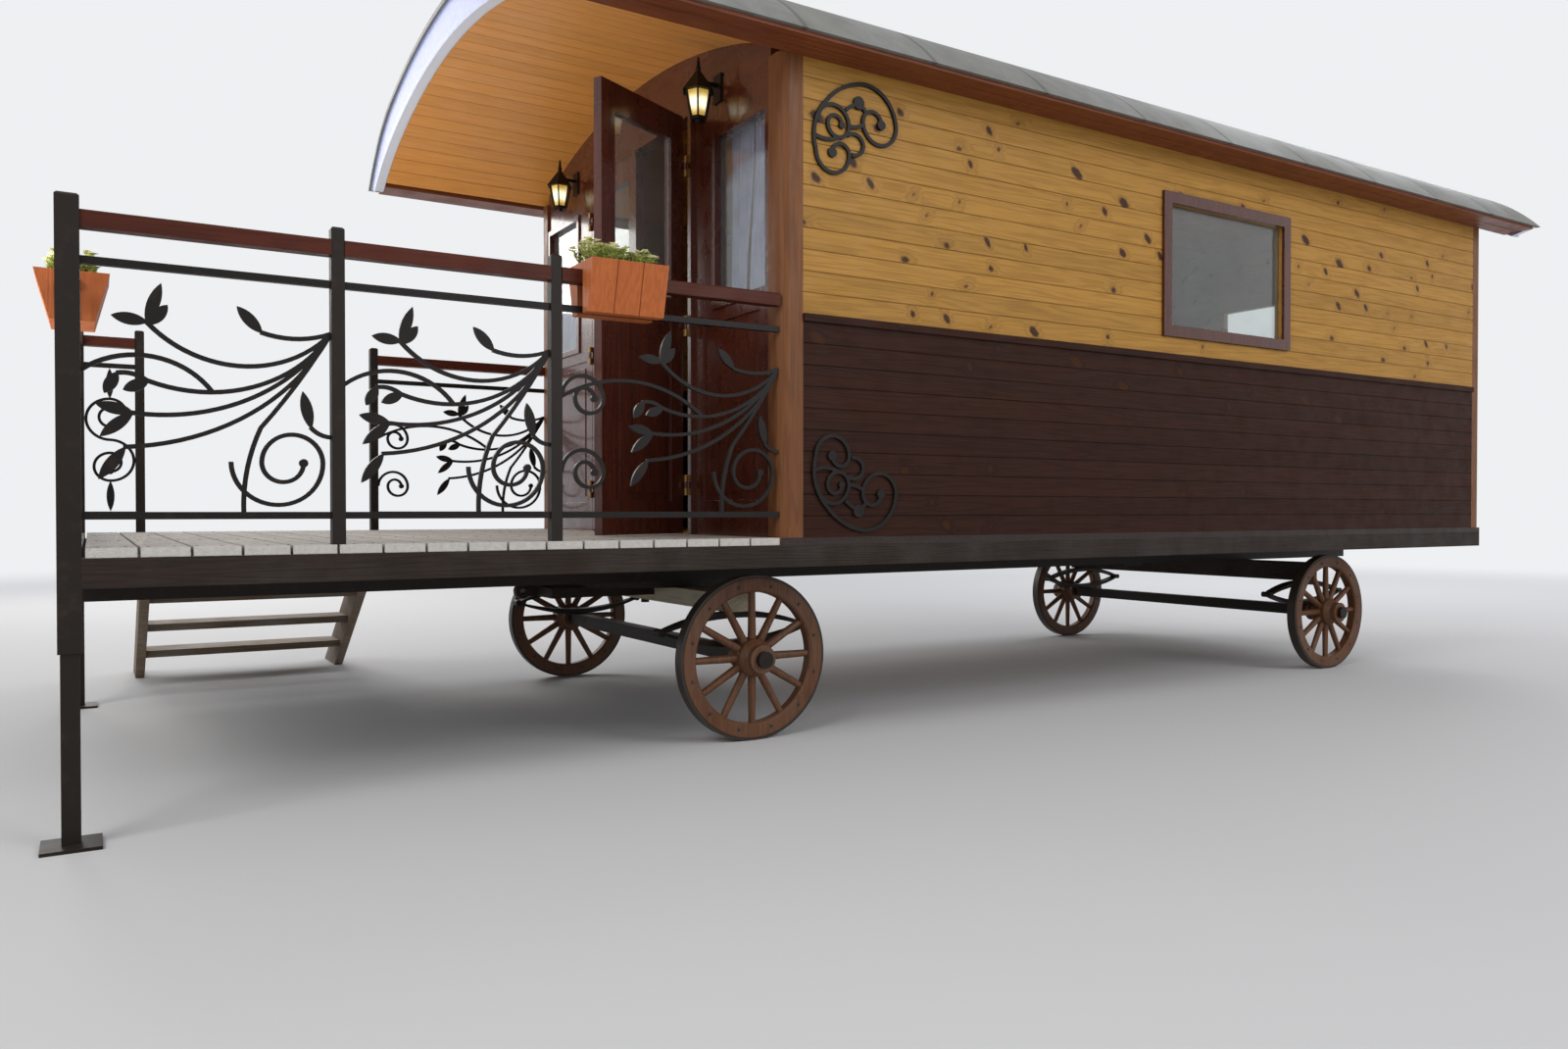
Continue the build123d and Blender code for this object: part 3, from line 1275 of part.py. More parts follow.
def turned(profile, axle_x, middle_y):
    """A solid of revolution about a wheel's axis, from (radius, place along the axis) points."""
    plane = Plane((axle_x, middle_y, WHEEL_R), x_dir=(1, 0, 0), z_dir=(0, 0, 1))
    with BuildSketch(plane) as section:
        with BuildLine() as outline:
            Polyline(*profile, close=True)
        make_face(outline.edges())
    revolve(section.sketch, axis=Axis((axle_x, middle_y, WHEEL_R), (0, 1, 0)))


CORNERS = (("front_near", FRONT_AXLE_X, -1), ("front_far", FRONT_AXLE_X, 1))
CORNERS += (("rear_near", REAR_AXLE_X, -1), ("rear_far", REAR_AXLE_X, 1))
for corner, axle_x, side in CORNERS:
    hub = Location((axle_x, side * WHEEL_CENTRE_Y, WHEEL_R), (90, 0, 0))
    with BuildPart() as wheel:
        turned(FELLOE_PROFILE, axle_x, side * WHEEL_CENTRE_Y)
        turned(HUB_PROFILE, axle_x, side * WHEEL_CENTRE_Y)
        spoke_long = FELLOE_R - FELLOE_DEEP / 2
        for number in range(SPOKES):
            turn = 360 * number / SPOKES
            with Locations(hub * Rotation(0, 0, turn) * Location((spoke_long / 2, 0, 0), (0, 90, 0))):
                Cone(SPOKE_R_HUB, SPOKE_R_RIM, spoke_long)
        with Locations(hub):
            Cylinder(AXLE_ARM_R + FIT, HUB_LONG * 2, mode=Mode.SUBTRACT)
    save(wheel, f"wheel_{corner}")
    with BuildPart() as tyre:
        with Locations(hub):
            Cylinder(WHEEL_R, TYRE_WIDE)
            Cylinder(WHEEL_R - TYRE_THICK, TYRE_WIDE, mode=Mode.SUBTRACT)
    save(tyre, f"tyre_{corner}")

# Planters astride the hand rails, open at the top, with a channel below for the rail
PLANTER_LOW = HAND_RAIL_TOP - PLANTER_BELOW_RAIL
PLANTER_HIGH = HAND_RAIL_TOP + PLANTER_RIM
CHANNEL_HALF = HAND_RAIL_WIDE / 2 + FIT
PLANTERS = (
    Plane((POST_LINE_X + NEAR_PLANTER_X, -RAIL_LINE, DECK_TOP), x_dir=(0, 1, 0), z_dir=(1, 0, 0)),
    Plane((POST_LINE_X, FRONT_PLANTER_Y, DECK_TOP), x_dir=(1, 0, 0), z_dir=(0, -1, 0)),
)


def planter_section(plane, inset, low, high, rail_room, long, mode=Mode.ADD):
    """Extrude a planter's tapered section both ways, less a slot that clears the hand rail."""
    slope = (PLANTER_DEEP - PLANTER_FOOT_DEEP) / 2 / (PLANTER_HIGH - PLANTER_LOW)
    low_half = PLANTER_FOOT_DEEP / 2 - inset + slope * (low - PLANTER_LOW)
    high_half = PLANTER_FOOT_DEEP / 2 - inset + slope * (high - PLANTER_LOW)
    slot_half, slot_top = CHANNEL_HALF + rail_room, HAND_RAIL_TOP + rail_room
    with BuildSketch(plane) as section:
        with BuildLine() as outline:
            Polyline(
                (-low_half, low),
                (-slot_half, low),
                (-slot_half, slot_top),
                (slot_half, slot_top),
                (slot_half, low),
                (low_half, low),
                (high_half, high),
                (-high_half, high),
                close=True,
            )
        make_face(outline.edges())
    extrude(section.sketch, amount=long / 2, both=True, mode=mode)


with BuildPart() as planter_boxes:
    for plane in PLANTERS:
        planter_section(plane, 0, PLANTER_LOW, PLANTER_HIGH, 0, PLANTER_LONG)
        planter_section(
            plane,
            PLANTER_WALL,
            PLANTER_LOW + PLANTER_WALL,
            PLANTER_HIGH + PLANTER_WALL,
            PLANTER_WALL,
            PLANTER_LONG - 2 * PLANTER_WALL,
            Mode.SUBTRACT,
        )
        for joint in range(1, PLANTER_STAVES):
            along = PLANTER_LONG * (joint / PLANTER_STAVES - 1 / 2)
            for side in (-1, 1):
                low_half, high_half = PLANTER_FOOT_DEEP / 2, PLANTER_DEEP / 2
                with BuildSketch(plane.offset(along - STAVE_GROOVE / 2)) as groove:
                    with BuildLine() as outline:
                        Polyline(
                            (side * (low_half - STAVE_GROOVE), PLANTER_LOW),
                            (side * (low_half + STAVE_GROOVE), PLANTER_LOW),
                            (side * (high_half + STAVE_GROOVE), PLANTER_HIGH),
                            (side * (high_half - STAVE_GROOVE), PLANTER_HIGH),
                            close=True,
                        )
                    make_face(outline.edges())
                extrude(groove.sketch, amount=STAVE_GROOVE, mode=Mode.SUBTRACT)
save(planter_boxes, "planter_boxes")

with BuildPart() as planter_plants:
    for plane in PLANTERS:
        soil_top = PLANTER_HIGH - SOIL_DROP
        room = PLANTER_WALL + FIT
        planter_section(
            plane, room, PLANTER_LOW + PLANTER_WALL, soil_top, room, PLANTER_LONG - 2 * room
        )
        with Locations(plane * Location((0, soil_top + PLANT_TALL / 2, 0))):
            Box(PLANTER_DEEP - 2 * PLANT_INSET, PLANT_TALL, PLANTER_LONG - 2 * PLANT_INSET)
save(planter_plants, "planter_plants")

# Lanterns on the front wall: six-sided tapered glass in a frame, under a pointed cap with a finial
LANTERN_BODY_X = FRONT_PANEL_INSET - LANTERN_REACH
RIM_Z = DECK_TOP + DOOR_HEAD - LANTERN_RIM_BELOW_HEAD
GLASS_LOW_Z = RIM_Z - LANTERN_GLASS_TALL


def six_sided(place, low, high, low_r, high_r):
    """A six-sided frustum between two heights, by its corner radii."""
    sections = []
    for z, radius in ((low, low_r), (high, high_r)):
        with BuildSketch(Plane((place[0], place[1], z))) as section:
            RegularPolygon(radius, LANTERN_SIDES)
        sections.append(section.sketch.faces()[0])
    loft(sections=sections)


def lantern_place(side):
    """Plan position of a lantern's axis."""
    return LANTERN_BODY_X, side * LANTERN_Y


with BuildPart() as lanterns:
    for side in (-1, 1):
        x, y = lantern_place(side)
        cap_top = RIM_Z + LANTERN_CAP_TALL
        six_sided((x, y), RIM_Z, cap_top, LANTERN_CAP_R, LANTERN_NECK_R)
        with Locations((x, y, cap_top + FINIAL_TALL / 2)):
            Cone(LANTERN_NECK_R, LANTERN_BAR_R, FINIAL_TALL)
        with Locations((x, y, cap_top + FINIAL_R)):
            Sphere(FINIAL_R)
        six_sided((x, y), GLASS_LOW_Z - LANTERN_BASE, GLASS_LOW_Z, LANTERN_FOOT_R, LANTERN_FOOT_R)
        with Locations((x, y, GLASS_LOW_Z - LANTERN_BASE)):
            Sphere(LANTERN_DROP_R)
        for corner in range(LANTERN_SIDES):
            turn = radians(360 * corner / LANTERN_SIDES)
            foot = Vector(x + LANTERN_FOOT_R * cos(turn), y + LANTERN_FOOT_R * sin(turn), GLASS_LOW_Z)
            head = Vector(x + LANTERN_TOP_R * cos(turn), y + LANTERN_TOP_R * sin(turn), RIM_Z)
            middle = (foot + head) * (1 / 2)
            with Locations(Plane(middle, z_dir=head - foot).location):
                Cylinder(LANTERN_BAR_R, (head - foot).length + LANTERN_BAR_R)
        box_between(
            (FRONT_PANEL_INSET - LANTERN_PLATE, FRONT_PANEL_INSET),
            (y - LANTERN_PLATE_WIDE / 2, y + LANTERN_PLATE_WIDE / 2),
            (RIM_Z - LANTERN_PLATE_TALL / 4, RIM_Z + 3 * LANTERN_PLATE_TALL / 4),
        )
        arm_z = RIM_Z + LANTERN_CAP_TALL / 2
        box_between(
            (x, FRONT_PANEL_INSET),
            (y - LANTERN_ARM / 2, y + LANTERN_ARM / 2),
            (arm_z - LANTERN_ARM / 2, arm_z + LANTERN_ARM / 2),
        )
save(lanterns, "lanterns")

with BuildPart() as lantern_glass:
    for side in (-1, 1):
        pull_in = 2 * (LANTERN_BAR_R + FIT)
        low_r, high_r = LANTERN_FOOT_R - pull_in, LANTERN_TOP_R - pull_in
        six_sided(lantern_place(side), GLASS_LOW_Z, RIM_Z, low_r, high_r)
save(lantern_glass, "lantern_glass")

# Wrought-iron ornaments on both side walls, the lower one upside down, in points from its middle:
# volutes by start, radii, direction across, sense and eye, and rods by three points on their arc
WALL_VOLUTES = (
    ((-170.0, -25.0), (75.0, 51.0, 34.0), (1, 0), 1, 14.0),
    ((-178.0, -140.0), (80.0, 41.0), (1, 0), -1, 20.0),
    ((218.0, 10.0), (84.0, 46.0), (-1, 0), 1, 20.0),
)
WALL_BENDS = (
    ((-178.0, -140.0), (-183.0, -40.0), (-124.0, 64.0)),
    ((-124.0, 64.0), (-52.0, 124.0), (50.0, 158.0)),
    ((50.0, 158.0), (160.0, 124.0), (218.0, 10.0)),
    ((-70.0, -76.0), (-125.0, -92.0), (-182.0, -84.0)),
    ((-20.0, -25.0), (16.0, -20.0), (52.0, -5.0)),
    ((-36.0, 38.0), (-4.0, 62.0), (29.0, 77.0)),
    ((29.0, 77.0), (51.0, 62.0), (68.0, 42.0)),
    ((-26.0, -62.0), (28.0, -55.0), (52.0, -90.0)),
    ((52.0, -90.0), (38.0, -122.0), (-6.0, -134.0)),
)
WALL_BALL = (29.0, 79.0)
WALL_BALL_R = 26.0

with BuildPart() as wall_scrolls:
    for side in (-1, 1):
        for height, flip in ((UPPER_SCROLL_Z, 1), (LOWER_SCROLL_Z, -1)):
            origin = (WALL_SCROLL_X, side * HALF_WIDTH, DECK_TOP + height)
            with BuildSketch(Plane(origin, x_dir=(1, 0, 0), z_dir=(0, -1, 0))):
                for start, radii, across, sense, eye in WALL_VOLUTES:
                    begin = (start[0], flip * start[1])
                    volute(begin, radii, across, flip * sense, WALL_SCROLL_BAR, eye)
                for points in WALL_BENDS:
                    bent_bar(*[(x, flip * y) for x, y in points], wide=WALL_SCROLL_BAR)
                with Locations((WALL_BALL[0], flip * WALL_BALL[1])):
                    Circle(WALL_BALL_R)
            extrude(amount=-side * WALL_SCROLL_PROUD)
save(wall_scrolls, "wall_scrolls")
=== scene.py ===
"""Looks of the vardo wagon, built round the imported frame. Metres, in the frame's own axes."""

import math
import random

import bmesh
import bpy
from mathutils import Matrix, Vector


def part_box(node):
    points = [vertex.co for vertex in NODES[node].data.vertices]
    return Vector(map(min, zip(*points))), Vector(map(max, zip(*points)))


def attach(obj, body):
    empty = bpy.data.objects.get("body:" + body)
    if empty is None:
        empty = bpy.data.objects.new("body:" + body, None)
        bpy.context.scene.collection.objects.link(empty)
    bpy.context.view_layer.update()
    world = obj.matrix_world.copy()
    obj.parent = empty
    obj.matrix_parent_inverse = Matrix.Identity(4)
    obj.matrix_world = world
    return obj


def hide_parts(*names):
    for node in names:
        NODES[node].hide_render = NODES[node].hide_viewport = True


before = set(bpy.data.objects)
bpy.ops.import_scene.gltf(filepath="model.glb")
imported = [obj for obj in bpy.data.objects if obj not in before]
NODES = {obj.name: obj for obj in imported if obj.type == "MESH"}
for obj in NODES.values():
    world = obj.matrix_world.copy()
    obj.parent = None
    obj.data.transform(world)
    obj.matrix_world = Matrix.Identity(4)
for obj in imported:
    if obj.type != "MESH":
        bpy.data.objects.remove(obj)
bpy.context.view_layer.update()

# Landmarks read from the frame: the floor's front edge, the centreline, half the floor's width, and
# the heights of the floor, the belt rails and the wall tops
FLOOR_LOW, FLOOR_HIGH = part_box("cabin_floor")
WALL_X = FLOOR_LOW.x
CENTRE_Y = (FLOOR_LOW.y + FLOOR_HIGH.y) / 2
HALF_WIDTH = (FLOOR_HIGH.y - FLOOR_LOW.y) / 2
DECK_Z = FLOOR_HIGH.z
BELT_LOW, BELT_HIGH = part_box("belt_rails")
WALL_TOP_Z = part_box("corner_posts")[1].z
DECK_LOW, DECK_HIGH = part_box("deck_boards")

# Photograph: camera place from the front wall and centreline, its turn and its lens
IMAGE_WIDE = 1600
CAMERA_PLACE = (-2.280, -5.039, 0.945)
CAMERA_TURN = 31.85
CAMERA_DOWN = 0.70
FOCAL_PIXELS = 1140
SENSOR_WIDE = 36.0

# Axes by number
X, Y, Z = 0, 1, 2

# Timber: board widths, the grain's stretch, bands, rings and fibres, and its shift from board to board
WALL_BOARD = 0.086
DECK_BOARD = 0.130
GRAIN_STRETCH = 0.045
GRAIN_BANDS = 14.0
GRAIN_RINGS = 64.0
GRAIN_FIBRES = 170.0
SOLID_SHIFT = 60.0
BOARD_SHIFT = 3.7

# Knots: their pitch along a board and how they scatter. Their place across it, lean, squeeze and radius
# are each (spread, least). Core and surround fade over the pairs of distances.
KNOT_RUN = 0.24
KNOT_SHIFT = 7.31
KNOT_SCATTER = 0.9
KNOT_ACROSS = (0.6, 0.2)
KNOT_LEAN = (1.4, -0.7)
KNOT_SQUEEZE = (0.8, 0.6)
KNOT_RADIUS = (0.018, 0.013)
KNOT_FLAT = 0.85
KNOT_RAGGED = 0.016
KNOT_CORE = (0.007, -0.006)
KNOT_NEAR = (0.060, 0.004)
KNOT_PUSH = 0.14

# Edges, worn on timber and iron and with a painted highlight on the fascia: the cosine between flat and
# rounded normal where it starts and is full, and how bare wear leaves them
EDGE_WEAR_AND_HIGHLIGHT = (0.94, 0.76)
EDGE_SAMPLES = 4
EDGE_BARE = 0.6
PATCH_BARE = 0.7

# Paint on outer edges: how far inside the edge it starts and is full
PAINT_STARTS = 0.003
PAINT_FULL = 0.001

# Roof: width of a sheet, the seam's edges as shares of it, its height beside the streaks, and how far
# the streaks are drawn out down the slope
ROOF_STRETCH = 0.18
ROOF_SHEET = 0.62
ROOF_SEAM = (0.022, 0.012)
ROOF_SEAM_TALL = 3.0

# The floor fades into the same pale colour that the world shows
BACKGROUND = (0.86, 0.87, 0.89, 1)


def colour(red, green, blue):
    """A display colour, 0 to 255 each, as a linear colour."""
    parts = []
    for value in (red, green, blue):
        share = value / 255
        parts.append(share / 12.92 if share <= 0.04045 else ((share + 0.055) / 1.055) ** 2.4)
    return (*parts, 1.0)


WEATHERED = colour(150, 146, 141)
KNOT_BROWN = colour(58, 31, 11)
DUST = colour(140, 132, 122)


def new_material(name):
    """A node material: (material, its tree, its surface shader)."""
    made = bpy.data.materials.new(name)
    made.use_nodes = True
    return made, made.node_tree, made.node_tree.nodes["Principled BSDF"]


def add(tree, kind, inputs=None, **settings):
    """A node with its settings, its inputs given as values or as sockets to link."""
    made = tree.nodes.new(kind)
    for name, value in settings.items():
        setattr(made, name, value)
    for key, value in (inputs or {}).items():
        if isinstance(value, bpy.types.NodeSocket):
            tree.links.new(value, made.inputs[key])
        else:
            made.inputs[key].default_value = value
    return made


def maths(tree, operation, first, second=0.0, third=0.0):
    """One sum, as the socket of its result."""
    node = add(tree, "ShaderNodeMath", {0: first, 1: second, 2: third}, operation=operation)
    return node.outputs[0]


def smooth(tree, value, low, high):
    """0 below low and 1 above high, turning smoothly between. The ends may be swapped."""
    inputs = {"Value": value, "From Min": low, "From Max": high}
    return add(tree, "ShaderNodeMapRange", inputs, interpolation_type="SMOOTHSTEP").outputs[0]


def blend(tree, share, first, second, mode="MIX"):
    """Two colours mixed by a share."""
    node = add(tree, "ShaderNodeMix", data_type="RGBA", blend_type=mode)
    for key, value in ((0, share), (6, first), (7, second)):
        if isinstance(value, bpy.types.NodeSocket):
            tree.links.new(value, node.inputs[key])
        else:
            node.inputs[key].default_value = value
    return node.outputs[2]


def noise(tree, vector, scale, detail=4.0, roughness=0.6):
    """Smooth noise, as a number from 0 to 1."""
    inputs = {"Vector": vector, "Scale": scale, "Detail": detail, "Roughness": roughness}
    return add(tree, "ShaderNodeTexNoise", inputs).outputs[0]


def mottle(tree, vector, scale, low, high, detail=4.0, roughness=0.6):
    """Noise as soft patches, from 0 where it is below low to 1 above high."""
    return smooth(tree, noise(tree, vector, scale, detail, roughness), low, high)


def vector_of(tree, x, y, z):
    """A vector from its three parts."""
    return add(tree, "ShaderNodeCombineXYZ", {0: x, 1: y, 2: z}).outputs[0]


def places(tree):
    """The object's own coordinates: (vector, x, y, z)."""
    vector = add(tree, "ShaderNodeTexCoord").outputs["Object"]
    split = add(tree, "ShaderNodeSeparateXYZ", {0: vector})
    return vector, split.outputs[0], split.outputs[1], split.outputs[2]


def softened(tree, radius):
    """The normal over edges rounded by a radius, and how near an edge a place is."""
    rounded = add(tree, "ShaderNodeBevel", {"Radius": radius}, samples=EDGE_SAMPLES).outputs[0]
    flat = add(tree, "ShaderNodeNewGeometry").outputs["Normal"]
    facing = add(tree, "ShaderNodeVectorMath", {0: rounded, 1: flat}, operation="DOT_PRODUCT")
    return rounded, smooth(tree, facing.outputs["Value"], *EDGE_WEAR_AND_HIGHLIGHT)


def relief(tree, shader, height, depth, normal=None):
    """Relief of a depth in metres, over a normal where one is given."""
    inputs = {"Height": height, "Distance": depth}
    if normal is not None:
        inputs["Normal"] = normal
    tree.links.new(add(tree, "ShaderNodeBump", inputs).outputs[0], shader.inputs["Normal"])


def boards_by(axis, start, pitch):
    """Boards side by side along one axis, as (maker of the place in whole boards, board width)."""

    def place_in_boards(tree, axes):
        """Where a place lies, counted in boards."""
        return maths(tree, "DIVIDE", maths(tree, "SUBTRACT", axes[axis], start), pitch)

    return place_in_boards, pitch


def fitted_boards(axis, low, high, wide):
    """Boards of about one width that fill a stretch exactly."""
    return boards_by(axis, low, (high - low) / round((high - low) / wide))


def knots_in(tree, place, wide, along, vector, share):
    """Knots scattered along boards: (how much a place is knot, how near it is to one)."""
    number = maths(tree, "FLOOR", place)
    run = maths(tree, "MULTIPLY_ADD", number, KNOT_SHIFT, maths(tree, "DIVIDE", along, KNOT_RUN))
    inputs = {"W": run, "Scale": 1.0, "Randomness": KNOT_SCATTER}
    cells = add(tree, "ShaderNodeTexVoronoi", inputs, voronoi_dimensions="1D")
    picks = add(tree, "ShaderNodeSeparateColor", {0: cells.outputs["Color"]}).outputs
    beside = maths(tree, "MULTIPLY", maths(tree, "SUBTRACT", run, cells.outputs["W"]), KNOT_RUN)
    middle = maths(tree, "MULTIPLY_ADD", picks[1], *KNOT_ACROSS)
    in_board = maths(tree, "SUBTRACT", maths(tree, "FRACT", place), middle)
    across = maths(tree, "MULTIPLY", in_board, wide)
    lean = maths(tree, "MULTIPLY_ADD", picks[2], *KNOT_LEAN)
    leaning = maths(tree, "MULTIPLY_ADD", across, lean, beside)
    squeezed = maths(tree, "MULTIPLY", leaning, maths(tree, "MULTIPLY_ADD", picks[1], *KNOT_SQUEEZE))
    flat = vector_of(tree, squeezed, maths(tree, "MULTIPLY", across, KNOT_FLAT), 0.0)
    distance = add(tree, "ShaderNodeVectorMath", {0: flat}, operation="LENGTH").outputs["Value"]
    ragged = maths(tree, "MULTIPLY_ADD", noise(tree, vector, scale=60.0, detail=3.0), KNOT_RAGGED, distance)
    size = maths(tree, "MULTIPLY_ADD", maths(tree, "MULTIPLY", picks[2], picks[2]), *KNOT_RADIUS)
    chosen = maths(tree, "LESS_THAN", picks[0], share)
    core = smooth(tree, maths(tree, "SUBTRACT", ragged, size), *KNOT_CORE)
    near = smooth(tree, distance, *KNOT_NEAR)
    return maths(tree, "MULTIPLY", core, chosen), maths(tree, "MULTIPLY", near, chosen)


def wood(
    name,
    light,
    dark,
    along,
    boards=None,
    vary=0.1,
    figure=0.6,
    knots=0.0,
    roughness=0.5,
    coat=0.0,
    gloss=0.3,
    deep=0.0005,
    weather=0.0,
    edge=0.0,
    worn=None,
):
    """Timber with its grain along one axis. Boards is "solids" where each board is its own solid."""
    made, tree, shader = new_material(name)
    vector, *axes = places(tree)
    grain = list(axes)
    shift = 0.0
    tone = None
    if boards == "solids":
        tone = add(tree, "ShaderNodeNewGeometry").outputs["Random Per Island"]
        shift = maths(tree, "MULTIPLY", tone, SOLID_SHIFT)
    elif boards:
        place = boards[0](tree, axes)
        number = maths(tree, "FLOOR", place)
        tone = add(tree, "ShaderNodeTexWhiteNoise", {"W": number}, noise_dimensions="1D").outputs[0]
        shift = maths(tree, "MULTIPLY", number, BOARD_SHIFT)
    grain[along] = maths(tree, "MULTIPLY_ADD", axes[along], GRAIN_STRETCH, shift)
    grain_place = vector_of(tree, *grain)
    bands = noise(tree, grain_place, GRAIN_BANDS, detail=2.0, roughness=0.5)
    if knots:
        knot, near_knot = knots_in(tree, place, boards[1], axes[along], vector, knots)
        bands = maths(tree, "MULTIPLY_ADD", near_knot, KNOT_PUSH, bands)
    wave = maths(tree, "SINE", maths(tree, "MULTIPLY", bands, GRAIN_RINGS))
    rings = smooth(tree, wave, low=-0.4, high=1.0)
    fibres = mottle(tree, grain_place, GRAIN_FIBRES, low=0.34, high=0.72, detail=3.0)
    lines = maths(tree, "MULTIPLY_ADD", rings, 0.5, maths(tree, "MULTIPLY", fibres, 0.5))
    broad = smooth(tree, bands, low=0.3, high=0.7)
    share = maths(tree, "MULTIPLY", maths(tree, "MULTIPLY_ADD", broad, 0.3, lines), figure)
    shade = blend(tree, share, light, dark)
    if tone is not None:
        level = maths(tree, "MULTIPLY_ADD", tone, 2 * vary, 1 - vary)
        shade = blend(tree, 1.0, shade, vector_of(tree, level, level, level), "MULTIPLY")
    if weather:
        patches = mottle(tree, vector, scale=2.6, low=0.4, high=0.72, detail=5.0, roughness=0.65)
        shade = blend(tree, maths(tree, "MULTIPLY", patches, weather), shade, WEATHERED)
    if knots:
        shade = blend(tree, maths(tree, "MULTIPLY", near_knot, 0.3), shade, dark)
        shade = blend(tree, knot, shade, KNOT_BROWN)
    normal = None
    if edge:
        normal, at_edge = softened(tree, edge)
        rubbed = mottle(tree, vector, scale=28.0, low=0.3, high=0.62)
        at_edge = maths(tree, "MULTIPLY", maths(tree, "MULTIPLY", at_edge, rubbed), EDGE_BARE)
        shade = blend(tree, at_edge, shade, worn)
    tree.links.new(shade, shader.inputs["Base Color"])
    dull = mottle(tree, vector, scale=9.0, low=0.3, high=0.75)
    rough = maths(tree, "MULTIPLY_ADD", dull, 0.16, max(roughness - 0.08, 0.04))
    tree.links.new(rough, shader.inputs["Roughness"])
    shader.inputs["Specular IOR Level"].default_value = gloss
    shader.inputs["Coat Weight"].default_value = coat
    shader.inputs["Coat Roughness"].default_value = 0.10
    relief(tree, shader, lines, deep, normal)
    return made


def beyond(made, tint, flecked, side_reach, end_x=None):
    """Another colour on a timber's outer edges, past a distance from the centreline or an end."""
    tree = made.node_tree
    shader = tree.nodes["Principled BSDF"]
    vector, x, y, _ = places(tree)
    out = maths(tree, "ABSOLUTE", maths(tree, "SUBTRACT", y, CENTRE_Y))
    share = smooth(tree, out, side_reach - PAINT_STARTS, side_reach - PAINT_FULL)
    if end_x is not None:
        at_end = smooth(tree, x, end_x - PAINT_STARTS, end_x - PAINT_FULL)
        share = maths(tree, "MAXIMUM", share, at_end)
    flecks = mottle(tree, vector, scale=55.0, low=0.3, high=0.7)
    paint = blend(tree, flecks, tint, flecked)
    under = shader.inputs["Base Color"].links[0].from_socket
    tree.links.new(blend(tree, share, under, paint), shader.inputs["Base Color"])
    return made


def iron(
    name, base, worn, roughness=0.45, metallic=0.0, dust=0.0, deep=0.0004, edge=0.0015, gloss=0.3
):
    """Painted or forged iron: hammered relief, worn patches and edges, and dust on its tops."""
    made, tree, shader = new_material(name)
    vector, *_ = places(tree)
    patches = mottle(tree, vector, scale=14.0, low=0.5, high=0.8, detail=5.0, roughness=0.65)
    normal, at_edge = softened(tree, edge)
    rubbing = mottle(tree, vector, scale=40.0, low=0.35, high=0.6, detail=3.0)
    rubbed = maths(tree, "MULTIPLY", at_edge, rubbing)
    at_patch = maths(tree, "MULTIPLY", patches, PATCH_BARE)
    bare = maths(tree, "MAXIMUM", at_patch, maths(tree, "MULTIPLY", rubbed, EDGE_BARE))
    shade = blend(tree, bare, base, worn)
    if dust:
        up = add(tree, "ShaderNodeSeparateXYZ", {0: add(tree, "ShaderNodeNewGeometry").outputs["Normal"]})
        lying = maths(tree, "MULTIPLY", smooth(tree, up.outputs[Z], low=0.3, high=0.95), dust)
        shade = blend(tree, lying, shade, DUST)
    tree.links.new(shade, shader.inputs["Base Color"])
    shader.inputs["Metallic"].default_value = metallic
    shader.inputs["Specular IOR Level"].default_value = gloss
    tree.links.new(maths(tree, "MULTIPLY_ADD", patches, 0.2, roughness - 0.08), shader.inputs["Roughness"])
    relief(tree, shader, noise(tree, vector, scale=120.0, detail=3.0), deep, normal)
    return made


def glass_material():
    """Clear glazing with faint dust."""
    made, tree, shader = new_material("window_pane")
    vector, *_ = places(tree)
    smear = mottle(tree, vector, scale=3.5, low=0.45, high=0.8, detail=5.0)
    shade = blend(tree, smear, colour(236, 241, 240), colour(222, 226, 226))
    tree.links.new(shade, shader.inputs["Base Color"])
    tree.links.new(maths(tree, "MULTIPLY_ADD", smear, 0.05, 0.02), shader.inputs["Roughness"])
    shader.inputs["Transmission Weight"].default_value = 0.95
    shader.inputs["IOR"].default_value = 1.45
    return made


def fascia_material():
    """Blue paint over faint grain, with painted highlights: white round the inner rim and pale on the
    edges.
    """
    made, tree, shader = new_material("fascia_paint")
    vector, *_ = places(tree)
    streaks = noise(tree, vector, scale=36.0)
    normal, at_edge = softened(tree, radius=0.006)
    facing = add(tree, "ShaderNodeSeparateXYZ", {0: add(tree, "ShaderNodeNewGeometry").outputs["Normal"]})
    # Painted highlight: the faces that do not face forward or back, the inner rim among them, are painted
    # white as if sunlit
    rim = smooth(tree, maths(tree, "ABSOLUTE", facing.outputs[X]), low=0.6, high=0.4)
    # The edges get a painted highlight too, not wear; pale holds both highlights
    pale = maths(tree, "MAXIMUM", maths(tree, "MULTIPLY", at_edge, 0.8), rim)
    faded = smooth(tree, streaks, low=0.35, high=0.75)
    shade = blend(tree, faded, colour(144, 154, 196), colour(124, 134, 180))
    shade = blend(tree, pale, shade, colour(228, 232, 242))
    tree.links.new(shade, shader.inputs["Base Color"])
    shader.inputs["Roughness"].default_value = 0.42
    relief(tree, shader, streaks, depth=0.0004, normal=normal)
    return made


